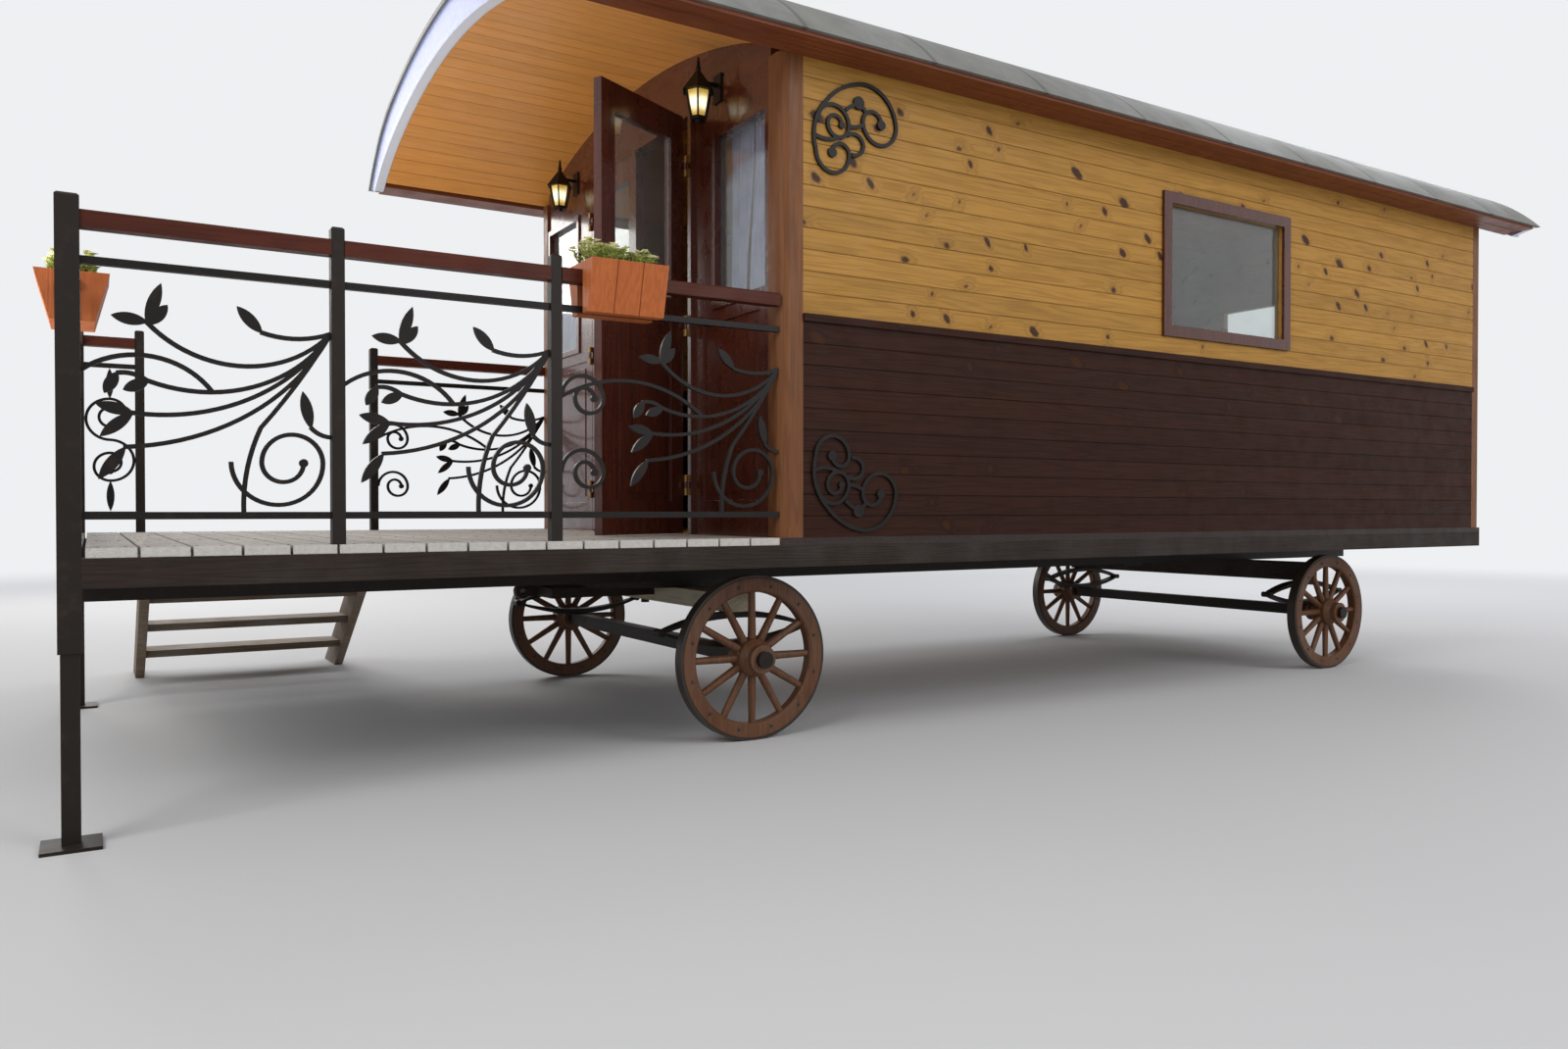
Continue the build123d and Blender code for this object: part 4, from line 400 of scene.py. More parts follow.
def roof_material():
    """Weathered sheet roofing: streaks down the slope, dull patches and seams across it."""
    made, tree, shader = new_material("roof_sheet")
    vector, x, y, z = places(tree)
    drawn_out = vector_of(tree, x, maths(tree, "MULTIPLY", y, ROOF_STRETCH), z)
    runs = noise(tree, drawn_out, scale=7.0, detail=5.0)
    patches = mottle(tree, vector, scale=1.7, low=0.4, high=0.7, detail=5.0)
    sheet = maths(tree, "FRACT", maths(tree, "DIVIDE", x, ROOF_SHEET))
    seam = smooth(tree, maths(tree, "ABSOLUTE", maths(tree, "SUBTRACT", sheet, 0.5)), *ROOF_SEAM)
    streaked = smooth(tree, runs, low=0.3, high=0.75)
    shade = blend(tree, streaked, colour(126, 127, 124), colour(106, 107, 105))
    shade = blend(tree, maths(tree, "MULTIPLY", patches, 0.25), shade, colour(116, 108, 95))
    shade = blend(tree, maths(tree, "MULTIPLY", seam, 0.6), shade, colour(70, 70, 69))
    tree.links.new(shade, shader.inputs["Base Color"])
    shader.inputs["Metallic"].default_value = 0.1
    tree.links.new(maths(tree, "MULTIPLY_ADD", patches, 0.15, 0.55), shader.inputs["Roughness"])
    relief(tree, shader, maths(tree, "MULTIPLY_ADD", seam, ROOF_SEAM_TALL, runs), depth=0.0015)
    return made


def lamp_material():
    """Warm lit lamp glass, brightest at mid height, with faint ripples."""
    made, tree, shader = new_material("lamp_glass")
    low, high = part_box("lantern_glass")
    vector, _, _, z = places(tree)
    height = maths(tree, "DIVIDE", maths(tree, "SUBTRACT", z, low.z), high.z - low.z)
    off_middle = maths(tree, "ABSOLUTE", maths(tree, "SUBTRACT", height, 0.5))
    glow = smooth(tree, off_middle, low=0.45, high=0.05)
    ripple = noise(tree, vector, scale=60.0, detail=3.0)
    shade = blend(tree, glow, colour(236, 196, 92), colour(255, 248, 214))
    tree.links.new(shade, shader.inputs["Base Color"])
    tree.links.new(shade, shader.inputs["Emission Color"])
    strength = maths(tree, "MULTIPLY_ADD", glow, 0.8, maths(tree, "MULTIPLY", ripple, 0.7))
    tree.links.new(strength, shader.inputs["Emission Strength"])
    shader.inputs["Roughness"].default_value = 0.2
    relief(tree, shader, ripple, depth=0.0006)
    return made


def cloth_material():
    """Lilac-white voile: fine weave and faint changes of tone."""
    made, tree, shader = new_material("curtain_voile")
    vector, *_ = places(tree)
    weave = {"Vector": vector, "Scale": 260.0, "Distortion": 0.6}
    down = add(tree, "ShaderNodeTexWave", weave, bands_direction="Z").outputs["Fac"]
    across = add(tree, "ShaderNodeTexWave", weave, bands_direction="Y").outputs["Fac"]
    threads = maths(tree, "MAXIMUM", down, across)
    tone = mottle(tree, vector, scale=11.0, low=0.3, high=0.7, detail=3.0)
    shade = blend(tree, tone, colour(200, 198, 226), colour(176, 174, 210))
    shade = blend(tree, maths(tree, "MULTIPLY", threads, 0.18), shade, colour(226, 224, 240))
    tree.links.new(shade, shader.inputs["Base Color"])
    shader.inputs["Roughness"].default_value = 0.85
    shader.inputs["Sheen Weight"].default_value = 0.3
    relief(tree, shader, threads, depth=0.0003)
    return made


def plant_material(name, fresh, pale, vein):
    """Leaves or petals that differ in tone, with darker flecks."""
    made, tree, shader = new_material(name)
    vector, *_ = places(tree)
    each = add(tree, "ShaderNodeNewGeometry").outputs["Random Per Island"]
    flecks = mottle(tree, vector, scale=130.0, low=0.35, high=0.7, detail=3.0)
    shade = blend(tree, each, fresh, pale)
    shade = blend(tree, maths(tree, "MULTIPLY", flecks, 0.4), shade, vein)
    tree.links.new(shade, shader.inputs["Base Color"])
    shader.inputs["Roughness"].default_value = 0.55
    relief(tree, shader, flecks, depth=0.0004)
    return made


def soil_material():
    """Dark crumbly soil."""
    made, tree, shader = new_material("soil")
    vector, *_ = places(tree)
    crumbs = noise(tree, vector, scale=90.0, detail=5.0, roughness=0.7)
    shade = blend(tree, smooth(tree, crumbs, low=0.35, high=0.7), colour(40, 28, 20), colour(86, 66, 48))
    tree.links.new(shade, shader.inputs["Base Color"])
    shader.inputs["Roughness"].default_value = 0.95
    relief(tree, shader, crumbs, depth=0.003)
    return made


# Timber colours as (light, dark), and the settings that timbers of one kind share
DARK = (colour(43, 32, 25), colour(26, 19, 14))
PINE = (colour(172, 127, 56), colour(128, 89, 35))
MAHOGANY = (colour(84, 37, 22), colour(44, 18, 12))
BEAM_LOOK = {
    "roughness": 0.6,
    "gloss": 0.2,
    "deep": 0.0009,
    "weather": 0.05,
    "edge": 0.004,
    "worn": colour(72, 56, 44),
}
PINE_LOOK = {"vary": 0.06, "figure": 0.55, "knots": 0.3, "roughness": 0.5, "gloss": 0.2}
MAHOGANY_LOOK = {
    "figure": 0.7,
    "roughness": 0.3,
    "coat": 0.5,
    "deep": 0.0001,
    "edge": 0.003,
    "worn": colour(112, 56, 34),
}

M = {
    "deck": beyond(
        wood(
            "deck_grey", colour(186, 180, 173), colour(140, 132, 125), Y, "solids", vary=0.08,
            figure=0.55, roughness=0.75, deep=0.0009, weather=0.5, edge=0.005,
            worn=colour(120, 113, 106),
        ),
        colour(196, 192, 186), colour(182, 177, 171), HALF_WIDTH,
    ),
    "floor": beyond(
        wood(
            "floor_pine", colour(160, 120, 78), colour(112, 80, 50), X,
            boards_by(Y, FLOOR_LOW.y, DECK_BOARD), vary=0.1, figure=0.6, knots=0.25, roughness=0.5,
        ),
        colour(46, 34, 27), colour(32, 24, 19), HALF_WIDTH, FLOOR_HIGH.x,
    ),
    "beam": wood("beam_dark", *DARK, X, **BEAM_LOOK),
    "beam_across": wood("beam_dark_across", *DARK, Y, **BEAM_LOOK),
    "post": wood(
        "post_brown", colour(119, 74, 41), colour(82, 49, 28), Z, "solids", vary=0.06, figure=0.6,
        roughness=0.45, gloss=0.2,
    ),
    "upper_wall": wood(
        "upper_pine", *PINE, X, fitted_boards(Z, BELT_HIGH.z, WALL_TOP_Z, WALL_BOARD), **PINE_LOOK
    ),
    "rear_wall": wood(
        "rear_pine", *PINE, Y, fitted_boards(Z, DECK_Z, WALL_TOP_Z, WALL_BOARD), **PINE_LOOK
    ),
    "lower_wall": wood(
        "lower_dark", colour(53, 27, 17), colour(30, 15, 10), X,
        fitted_boards(Z, DECK_Z, BELT_LOW.z, WALL_BOARD), vary=0.1, figure=0.6, knots=0.1,
        roughness=0.55, gloss=0.1,
    ),
    "mahogany": wood("mahogany", *MAHOGANY, Z, **MAHOGANY_LOOK),
    "mahogany_across": wood("mahogany_across", *MAHOGANY, Y, **MAHOGANY_LOOK),
    "ceiling": wood(
        "ceiling_pine", colour(236, 162, 76), colour(204, 128, 54), X, "solids", vary=0.05,
        figure=0.45, roughness=0.42, edge=0.006, worn=colour(132, 76, 34),
    ),
    "eave": wood("eave_brown", colour(128, 67, 37), colour(86, 43, 23), X, roughness=0.45),
    "rail": wood(
        "rail_red_brown", colour(81, 35, 21), colour(50, 22, 14), X, roughness=0.45, gloss=0.15,
        edge=0.004, worn=colour(124, 70, 46),
    ),
    "stair": wood(
        "stair_grey", colour(134, 117, 97), colour(88, 73, 59), X, "solids", vary=0.07,
        roughness=0.72, deep=0.0009, weather=0.45, edge=0.005, worn=colour(166, 152, 134),
    ),
    "wheel": wood(
        "wheel_brown", colour(104, 65, 38), colour(62, 37, 22), Z, roughness=0.5, deep=0.0007,
        weather=0.08, edge=0.004, worn=colour(134, 90, 58),
    ),
    "bolster": wood(
        "bolster_pale", colour(184, 174, 148), colour(142, 131, 106), Y, roughness=0.7, deep=0.0008,
        weather=0.4, edge=0.004, worn=colour(198, 188, 166),
    ),
    "planter": wood(
        "planter_orange", colour(188, 104, 54), colour(146, 74, 38), Z, figure=0.45, roughness=0.6,
        gloss=0.2, deep=0.0006, weather=0.05, edge=0.003, worn=colour(208, 130, 84),
    ),
    "iron": iron(
        "wrought_iron", colour(23, 19, 17), colour(50, 39, 31), roughness=0.5, dust=0.02,
        deep=0.0006, gloss=0.18,
    ),
    "steel": iron(
        "painted_steel", colour(31, 24, 20), colour(57, 45, 36), roughness=0.55, dust=0.04,
        deep=0.0003, gloss=0.2,
    ),
    "tyre": iron("tyre_steel", colour(56, 49, 44), colour(84, 64, 48), roughness=0.5, metallic=0.3),
    "brass": iron(
        "brass", colour(150, 114, 60), colour(92, 68, 38), roughness=0.4, metallic=0.7, deep=0.0002,
        gloss=0.5,
    ),
    "glass": glass_material(),
    "fascia": fascia_material(),
    "roof": roof_material(),
    "lamp": lamp_material(),
    "voile": cloth_material(),
    "leaves": plant_material(
        "planter_leaves", colour(140, 152, 62), colour(206, 212, 120), colour(104, 122, 48)
    ),
    "petals": plant_material(
        "planter_petals", colour(244, 240, 172), colour(252, 248, 222), colour(222, 216, 128)
    ),
    "soil": soil_material(),
}

FINISHES = {
    "deck": ("deck_boards",),
    "floor": ("cabin_floor",),
    "beam": ("side_beams", "hounds"),
    "beam_across": ("cross_beams", "rear_bolster", "drawbar_head"),
    "post": ("corner_posts",),
    "upper_wall": ("side_walls_upper",),
    "rear_wall": ("rear_wall",),
    "lower_wall": ("side_walls_lower", "belt_rails"),
    "mahogany": ("front_panels", "door_jambs", "near_door", "far_door", "side_window_frames"),
    "mahogany_across": ("front_transom", "door_head"),
    "ceiling": ("ceiling_boards",),
    "eave": ("eave_beams",),
    "rail": ("hand_rails",),
    "stair": ("stair_stringers", "stair_treads"),
    "bolster": ("front_bolster",),
    "planter": ("planter_boxes",),
    "iron": ("rail_bars", "rail_scrolls", "lanterns", "wall_scrolls"),
    "steel": (
        "chassis_rails", "corner_tubes", "landing_legs", "rail_posts", "turntable_top",
        "turntable_ring", "rear_springs", "front_springs", "rear_axle", "front_axle",
    ),
    "brass": ("door_hinges", "curtain_rods"),
    "glass": ("window_glass", "near_door_glass", "far_door_glass"),
    "fascia": ("roof_fascias",),
    "roof": ("roof_cover",),
    "lamp": ("lantern_glass",),
    "wheel": tuple(name for name in NODES if name.startswith("wheel_")),
    "tyre": tuple(name for name in NODES if name.startswith("tyre_")),
}
for finish, names in FINISHES.items():
    for name in names:
        NODES[name].data.materials.clear()
        NODES[name].data.materials.append(M[finish])


def piece(name, builder, material, body):
    """A named mesh object from a bmesh, with its material and body."""
    mesh = bpy.data.meshes.new(name)
    builder.normal_update()
    builder.to_mesh(mesh)
    builder.free()
    made = bpy.data.objects.new(name, mesh)
    bpy.context.scene.collection.objects.link(made)
    mesh.materials.append(material)
    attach(made, body)
    return made


def tube(builder, points, radii, sides=6):
    """A capped tube through points, with a radius at each."""
    rings = []
    for number, point in enumerate(points):
        before = points[max(number - 1, 0)]
        after = points[min(number + 1, len(points) - 1)]
        turn = (after - before).to_track_quat("Z", "Y")
        ring = []
        for corner in range(sides):
            angle = 2 * math.pi * corner / sides
            out = Vector((math.cos(angle), math.sin(angle), 0)) * radii[number]
            ring.append(builder.verts.new(point + turn @ out))
        rings.append(ring)
    skin(builder, rings)


def skin(builder, rings):
    """Faces between rings of corners, and a cap at each end."""
    for low, high in zip(rings, rings[1:]):
        for corner in range(len(low)):
            after = (corner + 1) % len(low)
            builder.faces.new((low[corner], low[after], high[after], high[corner]))
    builder.faces.new(list(reversed(rings[0])))
    builder.faces.new(rings[-1])


# A domed head's rings from foot to top, as (share of its radius, share of its height)
DOME_RINGS = ((1.0, -0.4), (1.0, 0.4), (0.6, 1.0))


def dome(builder, place, up, radius, tall, sides=8):
    """A low domed head that stands on a surface, its foot just inside it."""
    turn = Vector(up).to_track_quat("Z", "Y")
    rings = []
    for share, rise in DOME_RINGS:
        ring = []
        for corner in range(sides):
            angle = 2 * math.pi * corner / sides
            out = Vector((share * radius * math.cos(angle), share * radius * math.sin(angle), rise * tall))
            ring.append(builder.verts.new(Vector(place) + turn @ out))
        rings.append(ring)
    skin(builder, rings)


# Curtains: two gathered panels at each front window, both swept towards the door at the foot
CURTAIN_DROP = 0.74
CURTAIN_WIDE = 0.40
CURTAIN_THICK = 0.0012
CURTAIN_SAG = 0.035
CURTAIN_SEED = 11
MIDDLE_GAP = 0.004
DOOR_SWEEP = 0.34
POST_SWEEP = -0.24
SWEEP_POWER = 2.2
ACROSS_STEPS = 128
DOWN_STEPS = 60

# Their folds: count, depth, wander down the cloth, and a smaller wave over them
FOLDS = 8
FOLD_DEEP = 0.0075
FOLD_WANDER = 0.5
RIPPLE_SHARE = 0.25
RIPPLE_RATE = 2.7

# Curtain rings: how many hang at a window, their radius, their wire and how far below the rod's middle
RINGS = 14
RING_R = 0.0115
RING_WIRE = 0.0013
RING_STEPS = 16
RING_SIDES = 5
RING_DROP = 0.002


def curtain_panel(name, rod_x, top_z, outer_y, inner_y, sweep, seed):
    """One gathered panel from its outer to its inner edge, narrower at the foot by a sweep."""
    draw = random.Random(seed)
    phases = [draw.uniform(-0.5, 0.5) for _ in range(4)]
    builder = bmesh.new()
    grid = []
    for step in range(DOWN_STEPS + 1):
        down = step / DOWN_STEPS
        gather = math.sin(math.pi / 2 * down) ** SWEEP_POWER
        reach = (inner_y - outer_y) * (1 - sweep * gather)
        row = []
        for column in range(ACROSS_STEPS + 1):
            across = column / ACROSS_STEPS
            wander = FOLD_WANDER * math.sin(4 * down + phases[1])
            wave = 2 * math.pi * FOLDS * across + phases[0] + wander
            small = RIPPLE_SHARE * math.sin(RIPPLE_RATE * wave + phases[2])
            swell = 0.55 + 0.45 * math.sin(math.pi * across * 1.3 + phases[3]) ** 2
            opened = 0.35 + 0.65 * min(1, 3 * down + 0.3)
            fold = FOLD_DEEP * opened * swell * (math.sin(wave) + small)
            sag = CURTAIN_SAG * gather * across * (1 - down)
            z = top_z - down * CURTAIN_DROP - sag
            row.append(builder.verts.new((rod_x + fold, outer_y + reach * across, z)))
        grid.append(row)
    for low, high in zip(grid, grid[1:]):
        for column in range(ACROSS_STEPS):
            corners = (low[column], low[column + 1], high[column + 1], high[column])
            builder.faces.new(corners).smooth = True
    made = piece(name, builder, M["voile"], "root")
    shell = made.modifiers.new("cloth", "SOLIDIFY")
    shell.thickness = CURTAIN_THICK
    shell.offset = 0
    return made


def curtain_rings(name, rod_x, rod_z, centre_y):
    """The small rings that carry a window's panels on their rod."""
    builder = bmesh.new()
    for number in range(RINGS):
        y = centre_y + CURTAIN_WIDE * ((number + 0.5) / RINGS - 0.5)
        loop = []
        for step in range(RING_STEPS + 1):
            angle = 2 * math.pi * step / RING_STEPS
            x = rod_x + RING_R * math.sin(angle)
            z = rod_z - RING_DROP + RING_R * math.cos(angle)
            loop.append(Vector((x, y, z)))
        tube(builder, loop, [RING_WIRE] * len(loop), RING_SIDES)
    piece(name, builder, M["brass"], "root")


def curtains():
    """Both windows' curtains, in place of the plain solids."""
    low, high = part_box("curtains")
    rod_low, rod_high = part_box("curtain_rods")
    rod_x = (low.x + high.x) / 2
    panels = []
    windows = (("near", low.y + CURTAIN_WIDE / 2, 1), ("far", high.y - CURTAIN_WIDE / 2, -1))
    for label, centre, door_side in windows:
        for end, side, sweep in (("door", door_side, DOOR_SWEEP), ("post", -door_side, POST_SWEEP)):
            outer = centre + side * CURTAIN_WIDE / 2
            inner = centre + side * MIDDLE_GAP
            name = f"{label}_curtain_{end}"
            seed = CURTAIN_SEED + len(panels)
            made = curtain_panel(name, rod_x, high.z, outer, inner, sweep, seed)
            panels.append(made)
        curtain_rings(f"{label}_curtain_rings", rod_x, (rod_low.z + rod_high.z) / 2, centre)
    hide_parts("curtains")


# Planters' plants: pale flowers and small leaves on short stems over soil
PLANTER_LONG = 0.290
PLANTER_DEEP = 0.236
PLANTER_WALL = 0.012

# Soil: how far below the rim, its thickness, its lumps, the gap at its long sides, and its cells
SOIL_BELOW_RIM = 0.010
SOIL_THICK = 0.005
SOIL_LUMPS = (-0.002, 0.003)
SOIL_GAP = 0.006
SOIL_ALONG = 22
SOIL_ACROSS = 16
SOIL_SEED = 5

# Sprigs: how many stand in a planter, how they crowd to its end, what they keep clear of its length and
# depth, how they lean out, their heights, and how many of each cycle flower
SPRIGS = 96
SPRIG_SEED = 23
SPRIG_CROWD = 1.5
SPRIG_CLEAR = (0.07, 0.11)
SPRIG_OUT = (0.9, 0.3)
SPRIG_ROOT = 0.003
SPRIG_TALL = (0.060, 0.090)
SPRIG_TAPER = 0.3
SPRIG_CYCLE = 4
FLOWERING = 3

# Stems, leaves and petals, with the turn from leaf to leaf in radians
STEM_RADII = (0.0016, 0.0013, 0.0009)
STEM_SIDES = 5
STEM_LEAN = 0.2
STEM_BOW = 0.006
LEAVES = 7
LEAF_TURN = 2.4
LEAF_RISE = (0.1, 0.9)
LEAF_LONG = (0.017, 0.028)
LEAF_HALF = (0.005, 0.0075)
PETALS = 6
TUFT = 5
PETAL_RISE = (0.1, 0.5)
PETAL_LONG = (0.015, 0.020)
PETAL_HALF = 0.0078
BLADE_THICK = 0.06
BLADE_FOLD = 0.3


def leaf_blade(builder, base, tip, side, half):
    """One leaf from its base to its tip, folded along the middle, a closed sliver."""
    middle = (base + tip) / 2
    up = (tip - base).cross(side).normalized() * half
    thick = up * BLADE_THICK
    fold = up * BLADE_FOLD
    points = (base, middle + side * half + fold, tip, middle - side * half + fold)
    top = [builder.verts.new(point + thick) for point in points]
    low = [builder.verts.new(point - thick) for point in points]
    for ring, turned in ((top, False), (low, True)):
        for corners in ((0, 1, 2), (0, 2, 3)):
            face = [ring[number] for number in corners]
            builder.faces.new(list(reversed(face)) if turned else face)
    for number in range(4):
        after = (number + 1) % 4
        builder.faces.new((top[after], top[number], low[number], low[after]))


def sprig(leaves, petals, foot, outward, draw, tall, flower):
    """A stem with leaves up its sides, and a flower of rounded petals or a tuft on top."""
    sway = Vector((draw.uniform(-STEM_LEAN, STEM_LEAN), draw.uniform(-STEM_LEAN, STEM_LEAN), 1))
    top = foot + (outward + sway).normalized() * tall
    bow = Vector((draw.uniform(-STEM_BOW, STEM_BOW), draw.uniform(-STEM_BOW, STEM_BOW), 0))
    tube(leaves, [foot, (foot + top) / 2 + bow, top], STEM_RADII, STEM_SIDES)
    turn = draw.uniform(0, 2 * math.pi)
    for number in range(LEAVES):
        angle = turn + LEAF_TURN * number
        side_on = Vector((math.cos(angle), math.sin(angle), 0))
        base = foot + (top - foot) * (0.25 + 0.1 * number)
        reach = side_on + Vector((0, 0, draw.uniform(*LEAF_RISE)))
        tip = base + reach * draw.uniform(*LEAF_LONG)
        leaf_blade(leaves, base, tip, Vector((-side_on.y, side_on.x, 0)), draw.uniform(*LEAF_HALF))
    builder, count = (petals, PETALS) if flower else (leaves, TUFT)
    for number in range(count):
        angle = turn + 2 * math.pi * number / count
        side_on = Vector((math.cos(angle), math.sin(angle), 0))
        reach = side_on + Vector((0, 0, draw.uniform(*PETAL_RISE)))
        tip = top + reach * draw.uniform(*PETAL_LONG)
        leaf_blade(builder, top, tip, Vector((-side_on.y, side_on.x, 0)), PETAL_HALF)


def soil_bed(builder, centre, along_x, top_z):
    """A thin uneven bed of soil that fills the planter's mouth."""
    draw = random.Random(SOIL_SEED)
    long = PLANTER_LONG - 2 * PLANTER_WALL
    deep = PLANTER_DEEP - 2 * PLANTER_WALL - SOIL_GAP
    top, under = [], []
    for row in range(SOIL_ACROSS + 1):
        for column in range(SOIL_ALONG + 1):
            x = (column / SOIL_ALONG - 0.5) * long
            y = (row / SOIL_ACROSS - 0.5) * deep
            if not along_x:
                x, y = y, x
            lump = draw.uniform(*SOIL_LUMPS)
            top.append(builder.verts.new((centre[0] + x, centre[1] + y, top_z + lump)))
            under.append(builder.verts.new((centre[0] + x, centre[1] + y, top_z - SOIL_THICK)))
    wide = SOIL_ALONG + 1
    for row in range(SOIL_ACROSS):
        for column in range(SOIL_ALONG):
            first = row * wide + column
            square = (first, first + 1, first + 1 + wide, first + wide)
            builder.faces.new([top[number] for number in square])
            builder.faces.new([under[number] for number in reversed(square)])
    last = SOIL_ACROSS * wide
    border = list(range(wide)) + [row * wide + SOIL_ALONG for row in range(1, SOIL_ACROSS + 1)]
    border += [last + column for column in range(SOIL_ALONG - 1, -1, -1)]
    border += [row * wide for row in range(SOIL_ACROSS - 1, 0, -1)]
    for number, here in enumerate(border):
        after = border[(number + 1) % len(border)]
        builder.faces.new((top[after], top[here], under[here], under[after]))
    bmesh.ops.recalc_face_normals(builder, faces=builder.faces)


def plants():
    """Soil, leaves and flowers in both planters, in place of the plain solids."""
    low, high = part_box("planter_boxes")
    top_z = high.z - SOIL_BELOW_RIM
    beds = (
        ((high.x - PLANTER_LONG / 2, low.y + PLANTER_DEEP / 2), True),
        ((low.x + PLANTER_DEEP / 2, high.y - PLANTER_LONG / 2), False),
    )
    draw = random.Random(SPRIG_SEED)
    soil, leaves, petals = bmesh.new(), bmesh.new(), bmesh.new()
    for centre, along_x in beds:
        soil_bed(soil, centre, along_x, top_z)
        for number in range(SPRIGS):
            along = draw.random() ** SPRIG_CROWD - 0.5
            across = draw.uniform(-0.5, 0.5)
            clear_long, clear_deep = SPRIG_CLEAR
            offset = Vector((along * (PLANTER_LONG - clear_long), across * (PLANTER_DEEP - clear_deep), 0))
            outward = Vector((SPRIG_OUT[0] * along, SPRIG_OUT[1] * across, 0))
            if not along_x:
                offset, outward = offset.yxz, outward.yxz
            foot = Vector((*centre, top_z - SPRIG_ROOT)) + offset
            tall = draw.uniform(*SPRIG_TALL) * (1 - SPRIG_TAPER * (along + 0.5))
            sprig(leaves, petals, foot, outward, draw, tall, number % SPRIG_CYCLE < FLOWERING)
    green = piece("planter_leaves", leaves, M["leaves"], "root")
    piece("planter_flowers", petals, M["petals"], "root")
    piece("planter_soil", soil, M["soil"], "root")
    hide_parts("planter_plants")


# Deck screws: their rows from the centreline, half the distance in a pair, and their heads
SCREW_ROWS = (-1.265, -0.45, 0.45, 1.265)
SCREW_PAIR = 0.034
SCREW_R = 0.0048
SCREW_TALL = 0.0011

# Rim rivets: how many, how far inside the tyre's rim, their place off the wheel's middle, their heads
RIVETS = 12
RIVET_INSET = 0.041
RIVET_FACE = 0.028
RIVET_R = 0.0075
RIVET_TALL = 0.0030


def deck_screws():
    """Screw heads in pairs where each deck board crosses a beam or rail."""
    builder = bmesh.new()
    boards = round((DECK_HIGH.x - DECK_LOW.x) / DECK_BOARD)
    pitch = (DECK_HIGH.x - DECK_LOW.x) / boards
    for board in range(boards):
        middle = DECK_LOW.x + (board + 0.5) * pitch
        for y in SCREW_ROWS:
            for off in (-SCREW_PAIR, SCREW_PAIR):
                head = (middle + off, CENTRE_Y + y, DECK_HIGH.z)
                dome(builder, head, (0, 0, 1), SCREW_R, SCREW_TALL)
    piece("deck_screws", builder, M["steel"], "root")


def wheel_rivets():
    """Rivet heads on both faces of each wheel's rim, midway between its spokes."""
    for end in ("front", "rear"):
        for side in ("near", "far"):
            low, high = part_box(f"tyre_{end}_{side}")
            centre = (low + high) / 2
            ring = (high.z - low.z) / 2 - RIVET_INSET
            builder = bmesh.new()
            for number in range(RIVETS):
                angle = math.pi * (2 * number + 1) / RIVETS
                for face in (-1, 1):
                    out = Vector((ring * math.cos(angle), face * RIVET_FACE, ring * math.sin(angle)))
                    dome(builder, centre + out, (0, face, 0), RIVET_R, RIVET_TALL)
            piece(f"rivets_{end}_{side}", builder, M["tyre"], f"{end}_{side}_wheel")


curtains()
plants()
deck_screws()
wheel_rivets()

# Camera at the photograph's place
camera_data = bpy.data.cameras.new("camera")
camera = bpy.data.objects.new("camera", camera_data)
bpy.context.scene.collection.objects.link(camera)
bpy.context.scene.camera = camera
camera_data.sensor_fit = "HORIZONTAL"
camera_data.sensor_width = SENSOR_WIDE
camera_data.lens = FOCAL_PIXELS / IMAGE_WIDE * SENSOR_WIDE
camera_data.clip_end = 500
camera.location = (WALL_X + CAMERA_PLACE[0], CENTRE_Y + CAMERA_PLACE[1], CAMERA_PLACE[2])
camera.rotation_euler = (math.radians(90 - CAMERA_DOWN), 0, math.radians(-CAMERA_TURN))


# Studio: the floor's radius and corners, the distances over which it fades into the background, and
# the lamps as (name, place, aim, width, watts, spread in degrees, colour)
FLOOR_R = 120
FLOOR_CORNERS = 96
FLOOR_FADE = (6.0, 17.0)
LAMPS = (
    ("key", (-9.5, -6.0, 7.5), (-1.5, 0.0, 1.2), 5.0, 450, 180, (1.0, 0.96, 0.90)),
    ("side", (3.0, -11.0, 6.0), (0.5, 0.0, 1.4), 6.0, 410, 180, (0.97, 0.98, 1.0)),
    ("far", (-3.5, 9.0, 6.0), (-1.0, 0.0, 1.2), 5.0, 400, 180, (1.0, 0.97, 0.93)),
    ("back", (10.0, 3.0, 6.5), (1.0, 0.0, 1.5), 5.0, 340, 180, (0.97, 0.98, 1.0)),
    ("porch", (-5.7, -0.5, 0.95), (-2.2, 0.0, 4.3), 1.6, 34, 90, (1.0, 0.97, 0.93)),
)


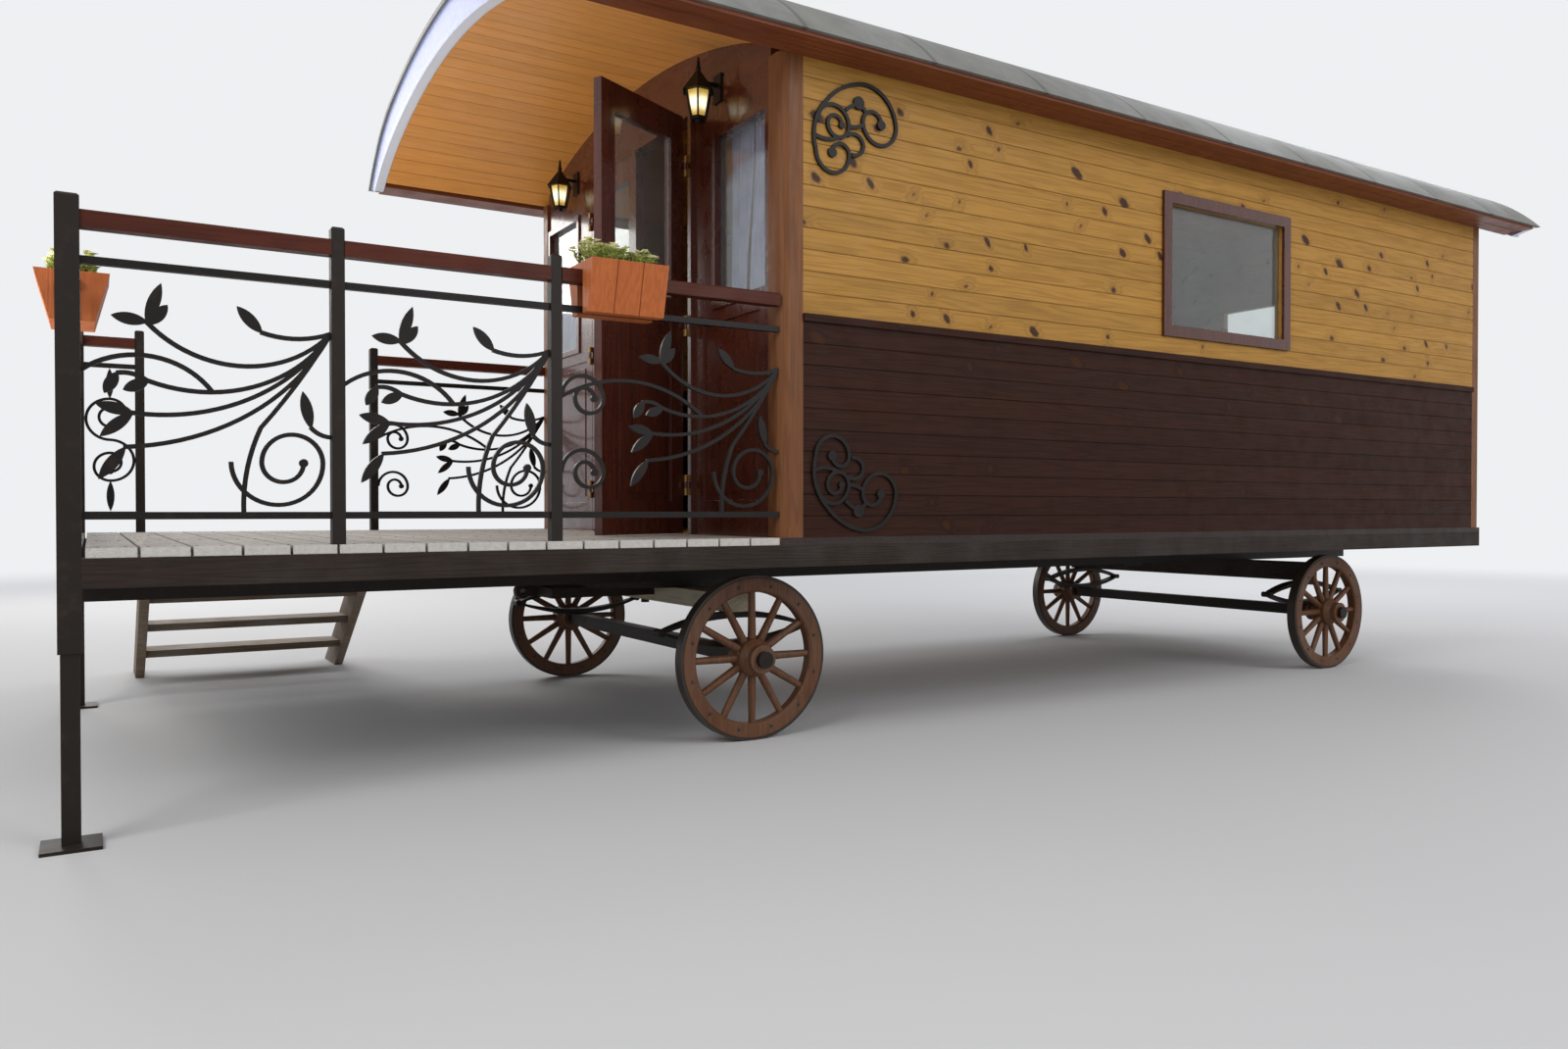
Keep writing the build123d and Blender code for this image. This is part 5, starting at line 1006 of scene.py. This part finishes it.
def studio():
    """A pale floor that fades into a pale world, and soft lamps."""
    scene = bpy.context.scene
    scene.view_settings.view_transform = "Standard"
    builder = bmesh.new()
    bmesh.ops.create_circle(builder, cap_ends=True, segments=FLOOR_CORNERS, radius=FLOOR_R)
    mesh = bpy.data.meshes.new("studio_floor")
    builder.to_mesh(mesh)
    builder.free()
    floor = bpy.data.objects.new("studio_floor", mesh)
    scene.collection.objects.link(floor)
    made, tree, shader = new_material("studio_floor")
    shader.inputs["Base Color"].default_value = (0.66, 0.66, 0.67, 1)
    shader.inputs["Roughness"].default_value = 0.9
    shader.inputs["Specular IOR Level"].default_value = 0.1
    _, x, y, _ = places(tree)
    flat = vector_of(tree, x, y, 0.0)
    away = add(tree, "ShaderNodeVectorMath", {0: flat}, operation="LENGTH").outputs["Value"]
    glow = add(tree, "ShaderNodeEmission", {"Color": BACKGROUND})
    mix = add(tree, "ShaderNodeMixShader", {0: smooth(tree, away, *FLOOR_FADE)})
    tree.links.new(shader.outputs[0], mix.inputs[1])
    tree.links.new(glow.outputs[0], mix.inputs[2])
    tree.links.new(mix.outputs[0], tree.nodes["Material Output"].inputs["Surface"])
    mesh.materials.append(made)

    world = bpy.data.worlds.new("studio")
    scene.world = world
    world.use_nodes = True
    tree = world.node_tree
    tree.nodes.clear()
    light = add(tree, "ShaderNodeBackground", {"Color": (0.93, 0.96, 1.0, 1), "Strength": 0.5})
    seen = add(tree, "ShaderNodeBackground", {"Color": BACKGROUND})
    ray = add(tree, "ShaderNodeLightPath")
    direct = maths(tree, "MAXIMUM", ray.outputs["Is Camera Ray"], ray.outputs["Is Glossy Ray"])
    direct = maths(tree, "MAXIMUM", direct, ray.outputs["Is Transmission Ray"])
    mix = add(tree, "ShaderNodeMixShader", {0: direct})
    tree.links.new(light.outputs[0], mix.inputs[1])
    tree.links.new(seen.outputs[0], mix.inputs[2])
    tree.links.new(mix.outputs[0], add(tree, "ShaderNodeOutputWorld").inputs[0])

    for name, place, aim, wide, power, spread, tint in LAMPS:
        data = bpy.data.lights.new(name, "AREA")
        data.size = wide
        data.energy = power
        data.color = tint
        data.spread = math.radians(spread)
        lamp = bpy.data.objects.new(name, data)
        scene.collection.objects.link(lamp)
        lamp.visible_camera = False
        lamp.location = place
        lamp.rotation_euler = (Vector(aim) - Vector(place)).to_track_quat("-Z", "Y").to_euler()


studio()
